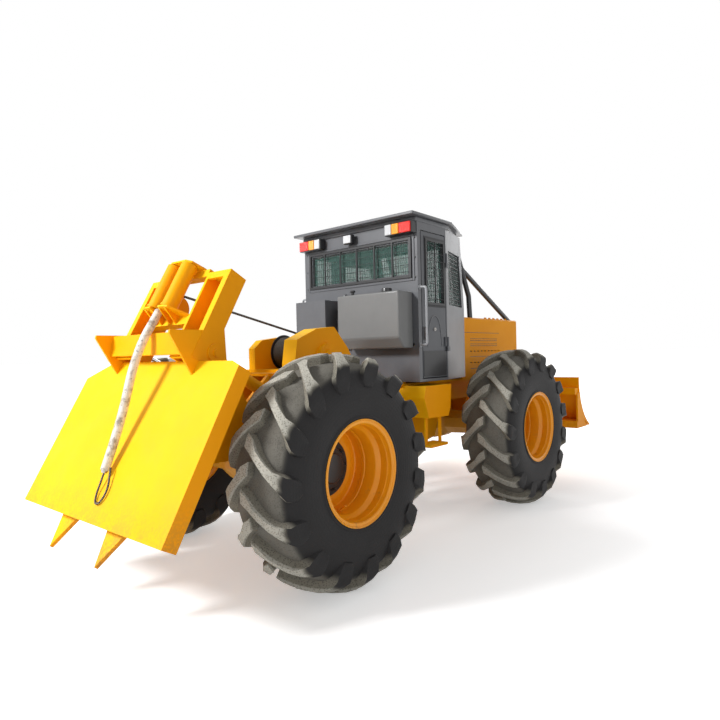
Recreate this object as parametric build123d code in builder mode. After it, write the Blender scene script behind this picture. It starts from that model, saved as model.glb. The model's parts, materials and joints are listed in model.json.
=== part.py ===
"""Cable log skidder: articulated four-wheel drive tractor with a winch, a roller fairlead arch,
a hinged butt plate at the rear and a dozer blade in front.

Millimetres, +X forward, +Y to the left, +Z up. The origin is on the ground below the middle of the
machine. Stations in the tables below run forward from the rear axle, heights run up from the ground.
"""

import os
from math import atan2, cos, degrees, hypot, pi, radians, sin

from build123d import *

os.makedirs("parts", exist_ok=True)

# ---------------------------------------------------------------- driving dimensions
pin_gap = 0.4  # radial clearance of every hinge pin in its boss
seat_gap = 0.3  # clearance between pieces that rest on each other
run_gap = 6.0  # side clearance between moving faces

# wheels and axles
wheelbase = 2800.0
axle_height = 800.0
tyre_width = 530.0
lug_height = 65.0
lug_count = 15  # on each side of the tread
tyre_radius = axle_height / cos(pi / (2 * lug_count))  # over a lug's tip; the tyre stands on two tips
wheel_track = 1980.0
rim_seat_radius = 330.0
rim_flange_radius = 358.0
rim_wall = 12.0
rim_drop = 28.0
rim_half_width = 250.0
rim_step = 140.0  # from the wheel's centre plane outward to the step in the rim's base
disc_inset = 80.0  # from the wheel's centre plane inward to the disc's outer face
disc_thickness = 18.0
hub_radius = 145.0
hub_nose = 30.0
spindle_radius = 60.0
spindle_length = 70.0
axle_tube_radius = 105.0
axle_bowl_radius = 190.0

# frames
frame_half_width = 300.0
frame_plate = 30.0
rear_deck_height = 1450.0
front_deck_height = 1300.0
deck_plate = 20.0
articulation_station = 1150.0
articulation_pin_radius = 45.0
tongue_thickness = 60.0
tongue_heights = (1190.0, 610.0)
shaft_height = 800.0
shaft_radius = 40.0

# rear lift: arch and butt plate in one weldment, hinged on the rear frame
lift_tilt = 29.1  # degrees of the plate from upright, its top leaning forward
lift_hinge = (-350.0, 1000.0)
lift_pin = (-610.0, 1610.0)
lift_pin_radius = 25.0
lift_hinge_radius = 35.0
arm_outer = 500.0
arm_plate = 20.0
post_inner = 240.0
post_top = 570.0
post_face = 150.0
post_depth = 140.0
plate_top = -105.0
plate_length = 1126.0
plate_half_width = 930.0
plate_depth = 100.0
plate_face = 88.0
plate_skin = 18.0
spike_length = 215.0
spike_width = 215.0
spike_spacing = 630.0
spike_thickness = 26.0
spike_lean = 9.0

# fairlead
roller_radius = 57.0
roller_spacing = 180.0
roller_low = 236.0
roller_high = 596.0
roller_face = 228.0
roller_journal_radius = 22.0
sheave_radius = 95.0
sheave_width = 48.0
sheave_place = (135.0, 300.0)
rope_radius = 9.0

# winch
drum_place = (580.0, rear_deck_height + 160.0)
drum_radius = 130.0
drum_low = -195.0
drum_high = 145.0

# cab and hood
cab_rear = 1420.0
cab_half_width = 720.0
cab_taper_station = 1900.0
cab_front = 2512.0
cab_front_half = 550.0
cab_pad_height = 20.0
cab_floor = front_deck_height + cab_pad_height
cab_belt = 2030.0
cab_top = 2770.0
cab_top_front = 2400.0
cab_wall = 50.0
roof_thickness = 70.0
roof_rear = 1300.0
roof_half_width = 760.0
roof_taper_station = 1950.0
roof_front = 2530.0
roof_front_half = 545.0
door_gap = 10.0
door_front = 1885.0
door_rear = 1470.0
door_low = cab_floor + 25.0
door_high = cab_top - 70.0
door_hinge_across = cab_half_width + 14.0
door_knuckle_radius = 12.0
door_hinge_heights = (door_low + 295.0, door_high - 260.0)
door_window = (cab_belt + 10.0, door_high - 80.0)  # lowest and highest edge
rear_window = (cab_top - 470.0, cab_top - 170.0)
glass_thickness = 6.0
hood_front = 3860.0
hood_half_width = 500.0
hood_top = 1960.0
hood_wall = 12.0
hood_slot_heights = (hood_top - 370.0, hood_top - 495.0)
hood_slot_station = 3060.0
hood_slot_count = 9
hood_slot_pitch = 80.0
hood_slot_length = 54.0
hood_slot_width = 9.0

# blade
blade_hinge = (3300.0, 700.0)
blade_half_width = 1100.0
blade_top = (4320.0, 1240.0)
blade_edge = (4680.0, 620.0)
blade_arm_outer = 520.0
blade_arm_thickness = 70.0

# ---------------------------------------------------------------- places worked out from them
lift_sin, lift_cos = sin(radians(lift_tilt)), cos(radians(lift_tilt))


def lift_place(out, up):
    """Station and height of a point of the lift: `out` rearward from its pin, `up` along the plate."""
    return (
        lift_pin[0] - out * lift_cos + up * lift_sin,
        lift_pin[1] + out * lift_sin + up * lift_cos,
    )


plate_bottom = plate_top - plate_length
plate_back = plate_face - plate_depth
spike_face = plate_back + spike_thickness + 4.0
spike_tip = (
    spike_face + spike_length * sin(radians(spike_lean)),
    plate_bottom - spike_length * cos(radians(spike_lean)),
)
rear_reach = lift_place(*spike_tip)[0]
rear_axle_x = -(blade_edge[0] + rear_reach) / 2


def at(station, across, height):
    """A place on the machine as a point of the model."""
    return (rear_axle_x + station, across, height)


def side(across):
    """Upright plane seen from the right: x is the station, y the height, extrusions go to the right."""
    return Plane(origin=at(0, across, 0), x_dir=(1, 0, 0), z_dir=(0, -1, 0))


def level(height):
    """Level plane: x is the station, y runs left, extrusions go up."""
    return Plane(origin=at(0, 0, height))


def crosswise(station):
    """Upright plane across the machine: x runs left, y is the height, extrusions go forward."""
    return Plane(origin=at(station, 0, 0), x_dir=(0, 1, 0), z_dir=(1, 0, 0))


def lift_side(across):
    """Upright plane of the lift: x is `out`, y is `up`, extrusions go to the left."""
    start = lift_place(0, 0)
    return Plane(origin=at(start[0], across, start[1]), x_dir=(-lift_cos, 0, lift_sin), z_dir=(0, 1, 0))


def lift_face(out):
    """Plane parallel to the butt plate: x runs left, y is `up`, extrusions go forward."""
    start = lift_place(out, 0)
    return Plane(origin=at(start[0], 0, start[1]), x_dir=(0, 1, 0), z_dir=(lift_cos, 0, -lift_sin))


def lift_level(up):
    """Plane square to the butt plate: x is `out`, y runs right, extrusions go up along the plate."""
    start = lift_place(0, up)
    return Plane(
        origin=at(start[0], 0, start[1]), x_dir=(-lift_cos, 0, lift_sin), z_dir=(lift_sin, 0, lift_cos),
    )


def lift_point(out, across, up):
    """A place on the lift as a point of the model."""
    start = lift_place(out, up)
    return at(start[0], across, start[1])


def rod(start, end, radius, mode=Mode.ADD):
    """Round bar between two points of the model."""
    line = Vector(*end) - Vector(*start)
    with Locations(Plane(origin=start, z_dir=line)):
        Cylinder(radius, line.length, align=(Align.CENTER, Align.CENTER, Align.MIN), mode=mode)


def slab(stations, across, heights, mode=Mode.ADD):
    """Flat-sided block between pairs of stations, places across and heights."""
    sizes = [span[1] - span[0] for span in (stations, across, heights)]
    with Locations(at(stations[0], across[0], heights[0])):
        Box(*sizes, align=(Align.MIN, Align.MIN, Align.MIN), mode=mode)


def save(name, part):
    part.label = name
    export_step(part, f"parts/{name}.step")


# ---------------------------------------------------------------- wheels
wheel_places = (  # name, station, side
    ("rear_left", 0.0, 1),
    ("rear_right", 0.0, -1),
    ("front_left", wheelbase, 1),
    ("front_right", wheelbase, -1),
)
wheel_flats = 24  # tyre and rim are drawn with this many flats around
bead_half = rim_half_width - rim_wall
tyre_half = tyre_width / 2
tread_radius = tyre_radius - lug_height
carcass_half_section = (  # across from the middle, radius
    (bead_half - seat_gap, rim_flange_radius + 6),
    (tyre_half - 9, (rim_flange_radius + tread_radius) / 2),
    (tyre_half - 57, tread_radius - 20),
)
lug_middle = tyre_half - 80.0  # where a lug turns down over the shoulder
lug_foot_outline = (  # along the tread, across from the middle
    (138, -22),
    (-80, tyre_half),
    (-222, tyre_half),
    (72, -22),
)
lug_top = (tyre_radius**2 - lug_foot_outline[0][0] ** 2) ** 0.5
lug_lead = degrees(atan2(lug_foot_outline[0][0], lug_top))  # turns a lug's leading tip to the front
lug_section = (  # across from the middle, radius
    (-22, tread_radius - 35),
    (-22, lug_top),
    (lug_middle - 35, lug_top),
    (tyre_half, tyre_radius - 110),
    (tyre_half, tyre_radius - 200),
    (tyre_half - 27, tyre_radius - 228),
    (lug_middle, tread_radius - 95),
)


def turned_flats(sections, mode=Mode.ADD):
    """Faceted solid of revolution about Z from (across, radius) pairs."""
    rings = []
    for across, radius in sections:
        with BuildSketch(Plane.XY.offset(across)) as ring:
            RegularPolygon(radius, wheel_flats)
        rings.append(ring.sketch)
    loft(rings, ruled=True, mode=mode)


# wheels are drawn about their own axle, along Z; a lug starts from the tread's front, along X
with BuildPart() as lug:
    with BuildSketch(Plane(origin=(0, 0, 0), x_dir=(0, 1, 0), z_dir=(1, 0, 0))):
        Polygon(*lug_foot_outline, align=None)
    extrude(amount=tyre_radius)
    with BuildSketch(Plane(origin=(0, -tyre_half, 0), x_dir=(0, 0, 1), z_dir=(0, 1, 0))):
        Polygon(*lug_section, align=None)
    extrude(amount=tyre_width, mode=Mode.INTERSECT)

with BuildPart() as tyre:
    far_half_section = tuple((-across, radius) for across, radius in carcass_half_section[::-1])
    turned_flats(carcass_half_section + far_half_section)
    with BuildSketch(Plane.XY.offset(-tyre_half)):
        RegularPolygon(rim_seat_radius + seat_gap, wheel_flats)
    extrude(amount=tyre_width, mode=Mode.SUBTRACT)
    with PolarLocations(0, lug_count, start_angle=-lug_lead):
        add(lug.part)
    with PolarLocations(0, lug_count, start_angle=180 / lug_count - lug_lead):
        add(lug.part.mirror(Plane.XY))

lip_inner = rim_flange_radius - rim_wall
barrel_inner = rim_seat_radius - rim_wall
disc_back = disc_inset + disc_thickness
hub_back = tyre_half - 20.0
with BuildPart() as rim:
    turned_flats((
        (-rim_half_width, rim_flange_radius), (-bead_half, rim_seat_radius),
        (bead_half, rim_seat_radius), (rim_half_width, rim_flange_radius),
    ))
    # the dish on the outer side, stepped in by the drop of the rim's base, and the hollow behind the disc
    turned_flats((
        (rim_half_width, lip_inner), (bead_half, barrel_inner), (rim_step, barrel_inner),
        (rim_step - rim_drop, barrel_inner - rim_drop), (-disc_inset, barrel_inner - rim_drop),
    ), Mode.SUBTRACT)
    turned_flats(((-rim_half_width, barrel_inner), (-disc_back, barrel_inner)), Mode.SUBTRACT)
    for start, end, radius in (
        (-hub_back, hub_nose - disc_inset, hub_radius),
        (-disc_inset, 2 * hub_nose - disc_inset, hub_radius - 40),
    ):
        with Locations((0, 0, start)):
            Cylinder(radius, end - start, align=(Align.CENTER, Align.CENTER, Align.MIN))
    with Locations((0, 0, -hub_back)):
        Cylinder(
            spindle_radius + pin_gap, spindle_length,
            align=(Align.CENTER, Align.CENTER, Align.MIN), mode=Mode.SUBTRACT,
        )

for name, station, hand in wheel_places:
    centre = at(station, hand * wheel_track / 2, axle_height)
    save(f"tyre_{name}", tyre.part.moved(Plane(origin=centre, x_dir=(1, 0, 0), z_dir=(0, 1, 0)).location))
    save(f"rim_{name}", rim.part.moved(Plane(origin=centre, x_dir=(1, 0, 0), z_dir=(0, hand, 0)).location))

# ---------------------------------------------------------------- axles
hub_back_place = wheel_track / 2 - hub_back
axle_flange_radius = axle_tube_radius + 25.0


def axle_half(station):
    """Left half of an axle: cast housing of eight flats from the bowl to the tube, flange and spindle."""
    flange = hub_back_place - run_gap
    casting = []
    for across, radius in (
        (0, axle_bowl_radius), (105, axle_bowl_radius * 0.88), (175, axle_tube_radius + 22),
        (flange - 60, axle_tube_radius),
    ):
        ring_plane = Plane(origin=at(station, across, axle_height), x_dir=(1, 0, 0), z_dir=(0, 1, 0))
        with BuildSketch(ring_plane) as ring:
            RegularPolygon(radius, 8, rotation=22.5, major_radius=False)
        casting.append(ring.sketch)
    loft(casting, ruled=True)
    rod(at(station, flange - 60, axle_height), at(station, flange, axle_height), axle_flange_radius)
    rod(at(station, flange, axle_height), at(station, flange + spindle_length, axle_height), spindle_radius)


with BuildPart() as rear_axle:
    axle_half(0)
    mirror(about=Plane.XZ)
    rod(at(100, 0, shaft_height), at(320, 0, shaft_height), 80)
    rod(at(320, 0, shaft_height), at(articulation_station - 60, 0, shaft_height), shaft_radius)
    for across in (-1, 1):
        slab(
            (-80, 80), sorted((across * (frame_half_width - 90), across * (frame_half_width + 30))),
            (800, 930),
        )
save("rear_axle", rear_axle.part)

# ---------------------------------------------------------------- rear frame
rear_plate_outline = (
    (-430, 900),
    (-455, 1000),
    (-430, 1090),
    (-330, 1130),
    (20, rear_deck_height),
    (950, rear_deck_height),
    (975, rear_deck_height - 30),
    (975, 930),
    (480, 930),
    (450, 730),
    (290, 730),
    (240, 930),
    (-260, 930),
    (-300, 900),
)
frame_inner = frame_half_width - frame_plate
tongue_reach = 95.0
tongue_half_width = 120.0
neck_gap = 110.0
lift_ram_foot = (120.0, 1180.0)
lift_ram_across = 400.0
steer_rear = (370.0, 375.0)  # station and place across of the cylinders' rear pins
steer_front = (1270.0, 375.0)
steer_height = shaft_height
steer_eye_width = 60.0
steer_ear_thickness = 20.0
steer_pin_radius = 20.0


def steer_ears(station, across, root_station, reach):
    """Pair of level ears for a steering cylinder's eye, standing out from a side plate."""
    for low in (
        steer_height - steer_eye_width / 2 - run_gap - steer_ear_thickness,
        steer_height + steer_eye_width / 2 + run_gap,
    ):
        with BuildSketch(level(low)) as ear:
            with Locations((station, across)):
                Circle(reach)
            Polygon(
                (station - reach, across),
                (root_station - reach, frame_half_width),
                (root_station + reach, frame_half_width),
                (station + reach, across),
                align=None,
            )
        extrude(ear.sketch, amount=steer_ear_thickness)


with BuildPart() as rear_frame:
    with BuildSketch(side(frame_half_width)):
        Polygon(*rear_plate_outline, align=None)
    extrude(amount=frame_plate)
    # stub shaft of the lift's arm, and the foot pin of the lift cylinder with its head
    hinge = at(lift_hinge[0], frame_half_width, lift_hinge[1])
    rod(hinge, at(lift_hinge[0], arm_outer + 14, lift_hinge[1]), lift_hinge_radius)
    foot = at(lift_ram_foot[0], frame_half_width, lift_ram_foot[1])
    rod(foot, at(lift_ram_foot[0], frame_half_width + 20, lift_ram_foot[1]), 55)
    rod(foot, at(lift_ram_foot[0], lift_ram_across + 60, lift_ram_foot[1]), lift_pin_radius)
    rod(
        at(lift_ram_foot[0], lift_ram_across + 45, lift_ram_foot[1]),
        at(lift_ram_foot[0], lift_ram_across + 60, lift_ram_foot[1]), 40,
    )
    steer_ears(steer_rear[0], steer_rear[1], steer_rear[0], 48)
    pin_end = steer_height + steer_eye_width / 2 + run_gap + 2 * steer_ear_thickness
    pin_start = steer_height - steer_eye_width / 2 - run_gap - 2 * steer_ear_thickness
    rod(
        at(steer_rear[0], steer_rear[1], pin_start), at(steer_rear[0], steer_rear[1], pin_end),
        steer_pin_radius,
    )
    # cheek of the neck that carries the lower tongue
    slab((700, 975), (neck_gap, neck_gap + frame_plate), (580, 930))
    mirror(about=Plane.XZ)
    # deck, end plates, floor of the neck and the two tongues
    slab((10, 960), (-360, 360), (rear_deck_height - deck_plate, rear_deck_height))
    slab((-420, -395), (-frame_inner, frame_inner), (920, 1080))
    slab((945, 970), (-frame_inner, frame_inner), (930, rear_deck_height - deck_plate))
    slab((660, 975), (-frame_inner, frame_inner), (930, 955))
    for height in tongue_heights:
        with BuildSketch(level(height - tongue_thickness / 2)):
            with Locations((articulation_station, 0)):
                Circle(tongue_reach)
            Polygon(
                (articulation_station, tongue_reach),
                (960, tongue_half_width),
                (700, tongue_half_width),
                (700, -tongue_half_width),
                (960, -tongue_half_width),
                (articulation_station, -tongue_reach),
                align=None,
            )
            with Locations((articulation_station, 0)):
                Circle(articulation_pin_radius + pin_gap, mode=Mode.SUBTRACT)
        extrude(amount=tongue_thickness)
save("rear_frame", rear_frame.part)

# ---------------------------------------------------------------- winch
base_thickness = 25.0
case_outline = ((240, 0), (240, 45), (270, 235), (490, 325), (700, 345), (870, 165), (920, 85), (920, 0))
case_right = (-350.0, -200.0)
case_left = (150.0, 230.0)
left_outline = ((250, 0), (250, 175), (330, 245), (560, 275), (720, 270), (860, 125), (890, 0))
winch_foot = rear_deck_height + base_thickness
with BuildPart() as winch_housing:
    slab((230, 930), (-355, 250), (rear_deck_height, winch_foot))
    for outline, span in ((case_outline, case_right), (left_outline, case_left)):
        with BuildSketch(side(span[1])):
            with Locations((0, winch_foot)):
                Polygon(*outline, align=None)
        extrude(amount=span[1] - span[0])
    # bearing cover on the case's outer face, and the cap over the input shaft
    with BuildSketch(side(case_right[0])):
        with Locations((600, winch_foot + 95)):
            Circle(110)
    extrude(amount=35)
    rod(at(600, case_right[0] - 35, winch_foot + 95), at(600, case_right[0] - 60, winch_foot + 95), 55)
save("winch_housing", winch_housing.part)

with BuildPart() as winch_drum:
    rod(at(drum_place[0], drum_low, drum_place[1]), at(drum_place[0], drum_high, drum_place[1]), drum_radius)
    rod(at(drum_place[0], case_right[1], drum_place[1]), at(drum_place[0], case_left[0], drum_place[1]), 45)
save("winch_drum", winch_drum.part)

# the rope runs straight from the top of the drum to the top of the arch's sheave
rope_gap = 0.5
wrap_drum = drum_radius + rope_radius + rope_gap
wrap_sheave = sheave_radius + rope_radius + rope_gap
sheave_centre = lift_place(*sheave_place)
run_x, run_z = sheave_centre[0] - drum_place[0], sheave_centre[1] - drum_place[1]
run_length = hypot(run_x, run_z)
lean = (wrap_drum - wrap_sheave) / run_length
square = (1 - lean**2) ** 0.5
rope_up = (
    (lean * run_x + square * run_z) / run_length,
    (lean * run_z - square * run_x) / run_length,
)
rope_across = -100.0
rope_start = at(drum_place[0] + wrap_drum * rope_up[0], rope_across, drum_place[1] + wrap_drum * rope_up[1])
rope_meet = (sheave_centre[0] + wrap_sheave * rope_up[0], sheave_centre[1] + wrap_sheave * rope_up[1])
rope_end = at(rope_meet[0], 0, rope_meet[1])
rope_line_way = (Vector(*rope_end) - Vector(*rope_start)).normalized()
with BuildPart() as winch_rope:
    rod(rope_start, tuple(Vector(*rope_end) - rope_line_way * 0.8), rope_radius)
save("winch_rope", winch_rope.part)

# ---------------------------------------------------------------- rear lift
spike_angle = radians(lift_tilt + spike_lean)
spike_plane = Plane(
    origin=lift_point(spike_face, 0, plate_bottom),
    x_dir=(0, 1, 0),
    z_dir=(cos(spike_angle), 0, -sin(spike_angle)),
)
stiffener = 20.0
pocket_columns, pocket_rows = 4, 2
pocket_width = (2 * plate_half_width - (pocket_columns + 1) * stiffener) / pocket_columns
pocket_height = (plate_length - 140 - (pocket_rows + 1) * stiffener) / pocket_rows
with BuildPart() as butt_plate:
    with BuildSketch(lift_face(plate_face)):
        Polygon(
            (-plate_half_width, plate_bottom),
            (plate_half_width, plate_bottom),
            (plate_half_width, plate_top - 140),
            (plate_half_width - 330, plate_top),
            (-plate_half_width + 80, plate_top),
            (-plate_half_width, plate_top - 30),
            align=None,
        )
    extrude(amount=plate_depth)
    # pockets between the stiffeners of the front side
    with BuildSketch(lift_face(plate_face - plate_skin)):
        with Locations((0, plate_bottom + (plate_length - 140) / 2)):
            with GridLocations(
                pocket_width + stiffener, pocket_height + stiffener, pocket_columns, pocket_rows,
            ):
                Rectangle(pocket_width, pocket_height)
    extrude(amount=plate_depth - plate_skin, mode=Mode.SUBTRACT)
    # pointed spikes below the lower edge, leaning a little rearward
    with BuildSketch(spike_plane):
        with Locations((-spike_spacing / 2, 0), (spike_spacing / 2, 0)):
            Polygon((-spike_width / 2, 12), (spike_width / 2, 12), (0, -spike_length), align=None)
    extrude(amount=spike_thickness)
save("butt_plate", butt_plate.part)

# arms beside the rear frame, and the two hollow posts above them
kink = lift_place(10, 177)
arm_outline = (
    lift_place(post_face, post_top),
    lift_place(10, post_top),
    kink,
    (-522, 1569),
    (-250, 1060),
    (-260, 930),
    (-330, 887),
    (lift_place(plate_back, -820)[0], 887),
    lift_place(plate_back, plate_top),
    lift_place(post_face, plate_top),
)
window_low, window_high = 90.0, 515.0
outer_stile, inner_stile = 55.0, 25.0
arm_inner = arm_outer - arm_plate
with BuildPart() as arch_frame:
    with BuildSketch(side(arm_outer)):
        Polygon(*arm_outline, align=None)
    extrude(amount=arm_plate)
    with BuildSketch(lift_side(post_inner)):
        Polygon((10, plate_top), (10, post_top), (post_face, post_top), (post_face, plate_top), align=None)
    extrude(amount=arm_plate)
    with BuildSketch(lift_face(post_face)):
        Polygon(
            (post_inner, plate_top), (arm_outer, plate_top), (arm_outer, post_top), (post_inner, post_top),
            align=None,
        )
        Polygon(
            (post_inner + inner_stile, window_low),
            (arm_outer - outer_stile, window_low),
            (arm_outer - outer_stile, window_high),
            (post_inner + inner_stile, window_high),
            align=None,
            mode=Mode.SUBTRACT,
        )
    extrude(amount=arm_plate)
    with BuildSketch(lift_face(10 + 12)):
        Polygon(
            (post_inner, 180), (arm_outer, 180), (arm_outer, post_top), (post_inner, post_top), align=None,
        )
    extrude(amount=12)
    with BuildSketch(lift_level(post_top - arm_plate)):
        Polygon(
            (10, -post_inner), (10, -arm_outer), (post_face, -arm_outer), (post_face, -post_inner),
            align=None,
        )
    extrude(amount=arm_plate)
    # lift pin with its boss, and the boss around the hinge
    rod(lift_point(0, arm_inner, 0), lift_point(0, arm_outer + 12, 0), 62)
    rod(lift_point(0, lift_ram_across - 50, 0), lift_point(0, arm_outer + 26, 0), lift_pin_radius)
    hinge = at(lift_hinge[0], frame_half_width + run_gap, lift_hinge[1])
    rod(hinge, at(lift_hinge[0], arm_outer, lift_hinge[1]), 72)
    rod(
        hinge, at(lift_hinge[0], arm_outer + 1, lift_hinge[1]), lift_hinge_radius + pin_gap,
        mode=Mode.SUBTRACT,
    )
    mirror(about=Plane.XZ)
    # tube that ties the arms together behind the plate
    rod(lift_point(-85, -arm_inner, -620), lift_point(-85, arm_inner, -620), 50)
save("arch_frame", arch_frame.part)

# hopper that gathers the rope: two wings and a lip plate between them
wing_outline = (
    (150, 90), (358, -26), (352, -48), (plate_face, -205), (plate_face, plate_top), (150, plate_top),
)
wing_outer = 496.0
wing_plate = 18.0
lip_low, lip_high = (196.0, -112.0), (246.0, 28.0)
with BuildPart() as rope_hopper:
    for across in (-wing_outer, wing_outer - wing_plate):
        with BuildSketch(lift_side(across)):
            Polygon(*wing_outline, align=None)
        extrude(amount=wing_plate)
    with BuildSketch(lift_side(-wing_outer + wing_plate)):
        Polygon(
            lip_low, lip_high, (lip_high[0] - 14, lip_high[1] + 4), (lip_low[0] - 14, lip_low[1] + 4),
            align=None,
        )
    extrude(amount=2 * (wing_outer - wing_plate))
save("rope_hopper", rope_hopper.part)

# roller bracket: two cross bars between the posts, the plates that hold the rollers, and the sheave
bracket_low = roller_low - run_gap - 15.0
bracket_high = roller_high + run_gap
throat = 48.0
with BuildPart() as roller_bracket:
    for low, high in ((bracket_low - 65, bracket_low), (bracket_high - 62, bracket_high)):
        with BuildSketch(lift_level(low)):
            Polygon((95, -post_inner), (150, -post_inner), (150, post_inner), (95, post_inner), align=None)
        extrude(amount=high - low)
    with BuildSketch(lift_level(bracket_high)):
        Polygon(
            (95, -170), (150, -170), (roller_face + 20, -140), (roller_face + 48, -90),
            (roller_face + 48, 90), (roller_face + 20, 140), (150, 170), (95, 170), align=None,
        )
        with Locations((roller_face, -roller_spacing / 2), (roller_face, roller_spacing / 2)):
            Circle(roller_journal_radius + pin_gap, mode=Mode.SUBTRACT)
    extrude(amount=15)
    with BuildSketch(lift_level(bracket_low)):
        for hand in (-1, 1):
            Polygon((95, hand * post_inner), (150, hand * post_inner), (roller_face + 50, hand * 150),
                    (roller_face + 62, hand * 120), (roller_face + 62, hand * throat),
                    (95, hand * throat), align=None)
        with Locations((roller_face, -roller_spacing / 2), (roller_face, roller_spacing / 2)):
            Circle(roller_journal_radius + pin_gap, mode=Mode.SUBTRACT)
    extrude(amount=15)
    for across in (-roller_spacing / 2 - 42, -throat - 12, throat, roller_spacing / 2 + 30):
        with BuildSketch(lift_side(across)):
            Polygon((150, bracket_low - 60), (roller_face + 55, bracket_low), (150, bracket_low), align=None)
        extrude(amount=12)
    for across in (-sheave_width / 2 - 14, sheave_width / 2 + 4):
        with BuildSketch(lift_side(across)):
            Polygon(
                (100, bracket_low - 10), (150, bracket_low - 10), (165, sheave_place[1] + 20),
                (110, sheave_place[1] + 20), align=None,
            )
        extrude(amount=10)
    reach = sheave_width / 2 + 16
    rod(
        lift_point(sheave_place[0], -reach, sheave_place[1]),
        lift_point(sheave_place[0], reach, sheave_place[1]), 16,
    )
    groove = sheave_width / 2
    rod(
        lift_point(sheave_place[0], -groove, sheave_place[1]),
        lift_point(sheave_place[0], groove, sheave_place[1]), sheave_radius,
    )
save("roller_bracket", roller_bracket.part)

for name, across in (("left", roller_spacing / 2), ("right", -roller_spacing / 2)):
    with BuildPart() as roller:
        rod(
            lift_point(roller_face, across, roller_low), lift_point(roller_face, across, roller_high),
            roller_radius,
        )
        rod(
            lift_point(roller_face, across, bracket_low - 4),
            lift_point(roller_face, across, bracket_high + 20), roller_journal_radius,
        )
        rod(
            lift_point(roller_face, across, roller_low), lift_point(roller_face, across, roller_low + 16),
            roller_radius + 5,
        )
    save(f"fairlead_roller_{name}", roller.part)

# ---------------------------------------------------------------- rope below the sheave
drop_length = 90.0
meet_angle = degrees(atan2(rope_meet[1] - sheave_centre[1], rope_meet[0] - sheave_centre[0]))
sleeve_route = (  # out, across, up
    (sheave_place[0] + wrap_sheave, 0, sheave_place[1] - drop_length),
    (262, -40, 105),
    (288, -80, 0),
    (283, -84, -140),
    (256, -80, -290),
    (212, -78, -450),
    (176, -76, -610),
    (148, -72, -770),
    (126, -66, -905),
)
# the rope's end is cut flush with the mouth of its sleeve
sleeve_start, sleeve_next = (Vector(*lift_point(*place)) for place in sleeve_route[:2])
with BuildPart() as rope_drop:
    with BuildLine(side(0)) as rope_line:
        arc = CenterArc(sheave_centre, wrap_sheave, meet_angle, 180 - lift_tilt - meet_angle)
        Line(arc @ 1, (arc @ 1) + (arc % 1) * (drop_length + rope_radius))
    with BuildSketch(Plane(origin=arc @ 0, z_dir=arc % 0)):
        RegularPolygon(rope_radius, 6)
    sweep()
    split(bisect_by=Plane(origin=sleeve_start, z_dir=sleeve_next - sleeve_start), keep=Keep.BOTTOM)
save("rope_drop", rope_drop.part)

loop_route = (
    sleeve_route[-1],
    (115, -63, -972),
    (101, -50, -1050),
    (99, -76, -1108),
    (99, -116, -1112),
    (100, -150, -1075),
    (102, -158, -1010),
    (110, -134, -940),
    (122, -112, -880),
)


def cord(route, radius):
    """Tube along straight runs joined by arcs as large as the runs allow.

    Returns it with its radii and length.
    """
    points = [Vector(*lift_point(*place)) for place in route]
    radii = []
    for before, corner, after in zip(points, points[1:], points[2:]):
        runs = min((corner - before).length, (after - corner).length)
        turn = (corner - before).get_angle(after - corner)
        radii.append(0.45 * runs / max(1e-6, abs(sin(radians(turn / 2)) / cos(radians(turn / 2)))))
    with BuildPart() as tube:
        with BuildLine() as line:
            FilletPolyline(*points, radius=radii)
        with BuildSketch(Plane(origin=line.line @ 0, z_dir=line.line % 0)):
            RegularPolygon(radius, 6)
        sweep()
    return tube.part, radii, sum(edge.length for edge in line.edges())


for name, route, radius in (("rope_sleeve", sleeve_route, 29.0), ("choker_loop", loop_route, 6.0)):
    tube, radii, length = cord(route, radius)
    print(name, "radii", [round(r) for r in radii], "length", round(length))
    save(name, tube)

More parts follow.
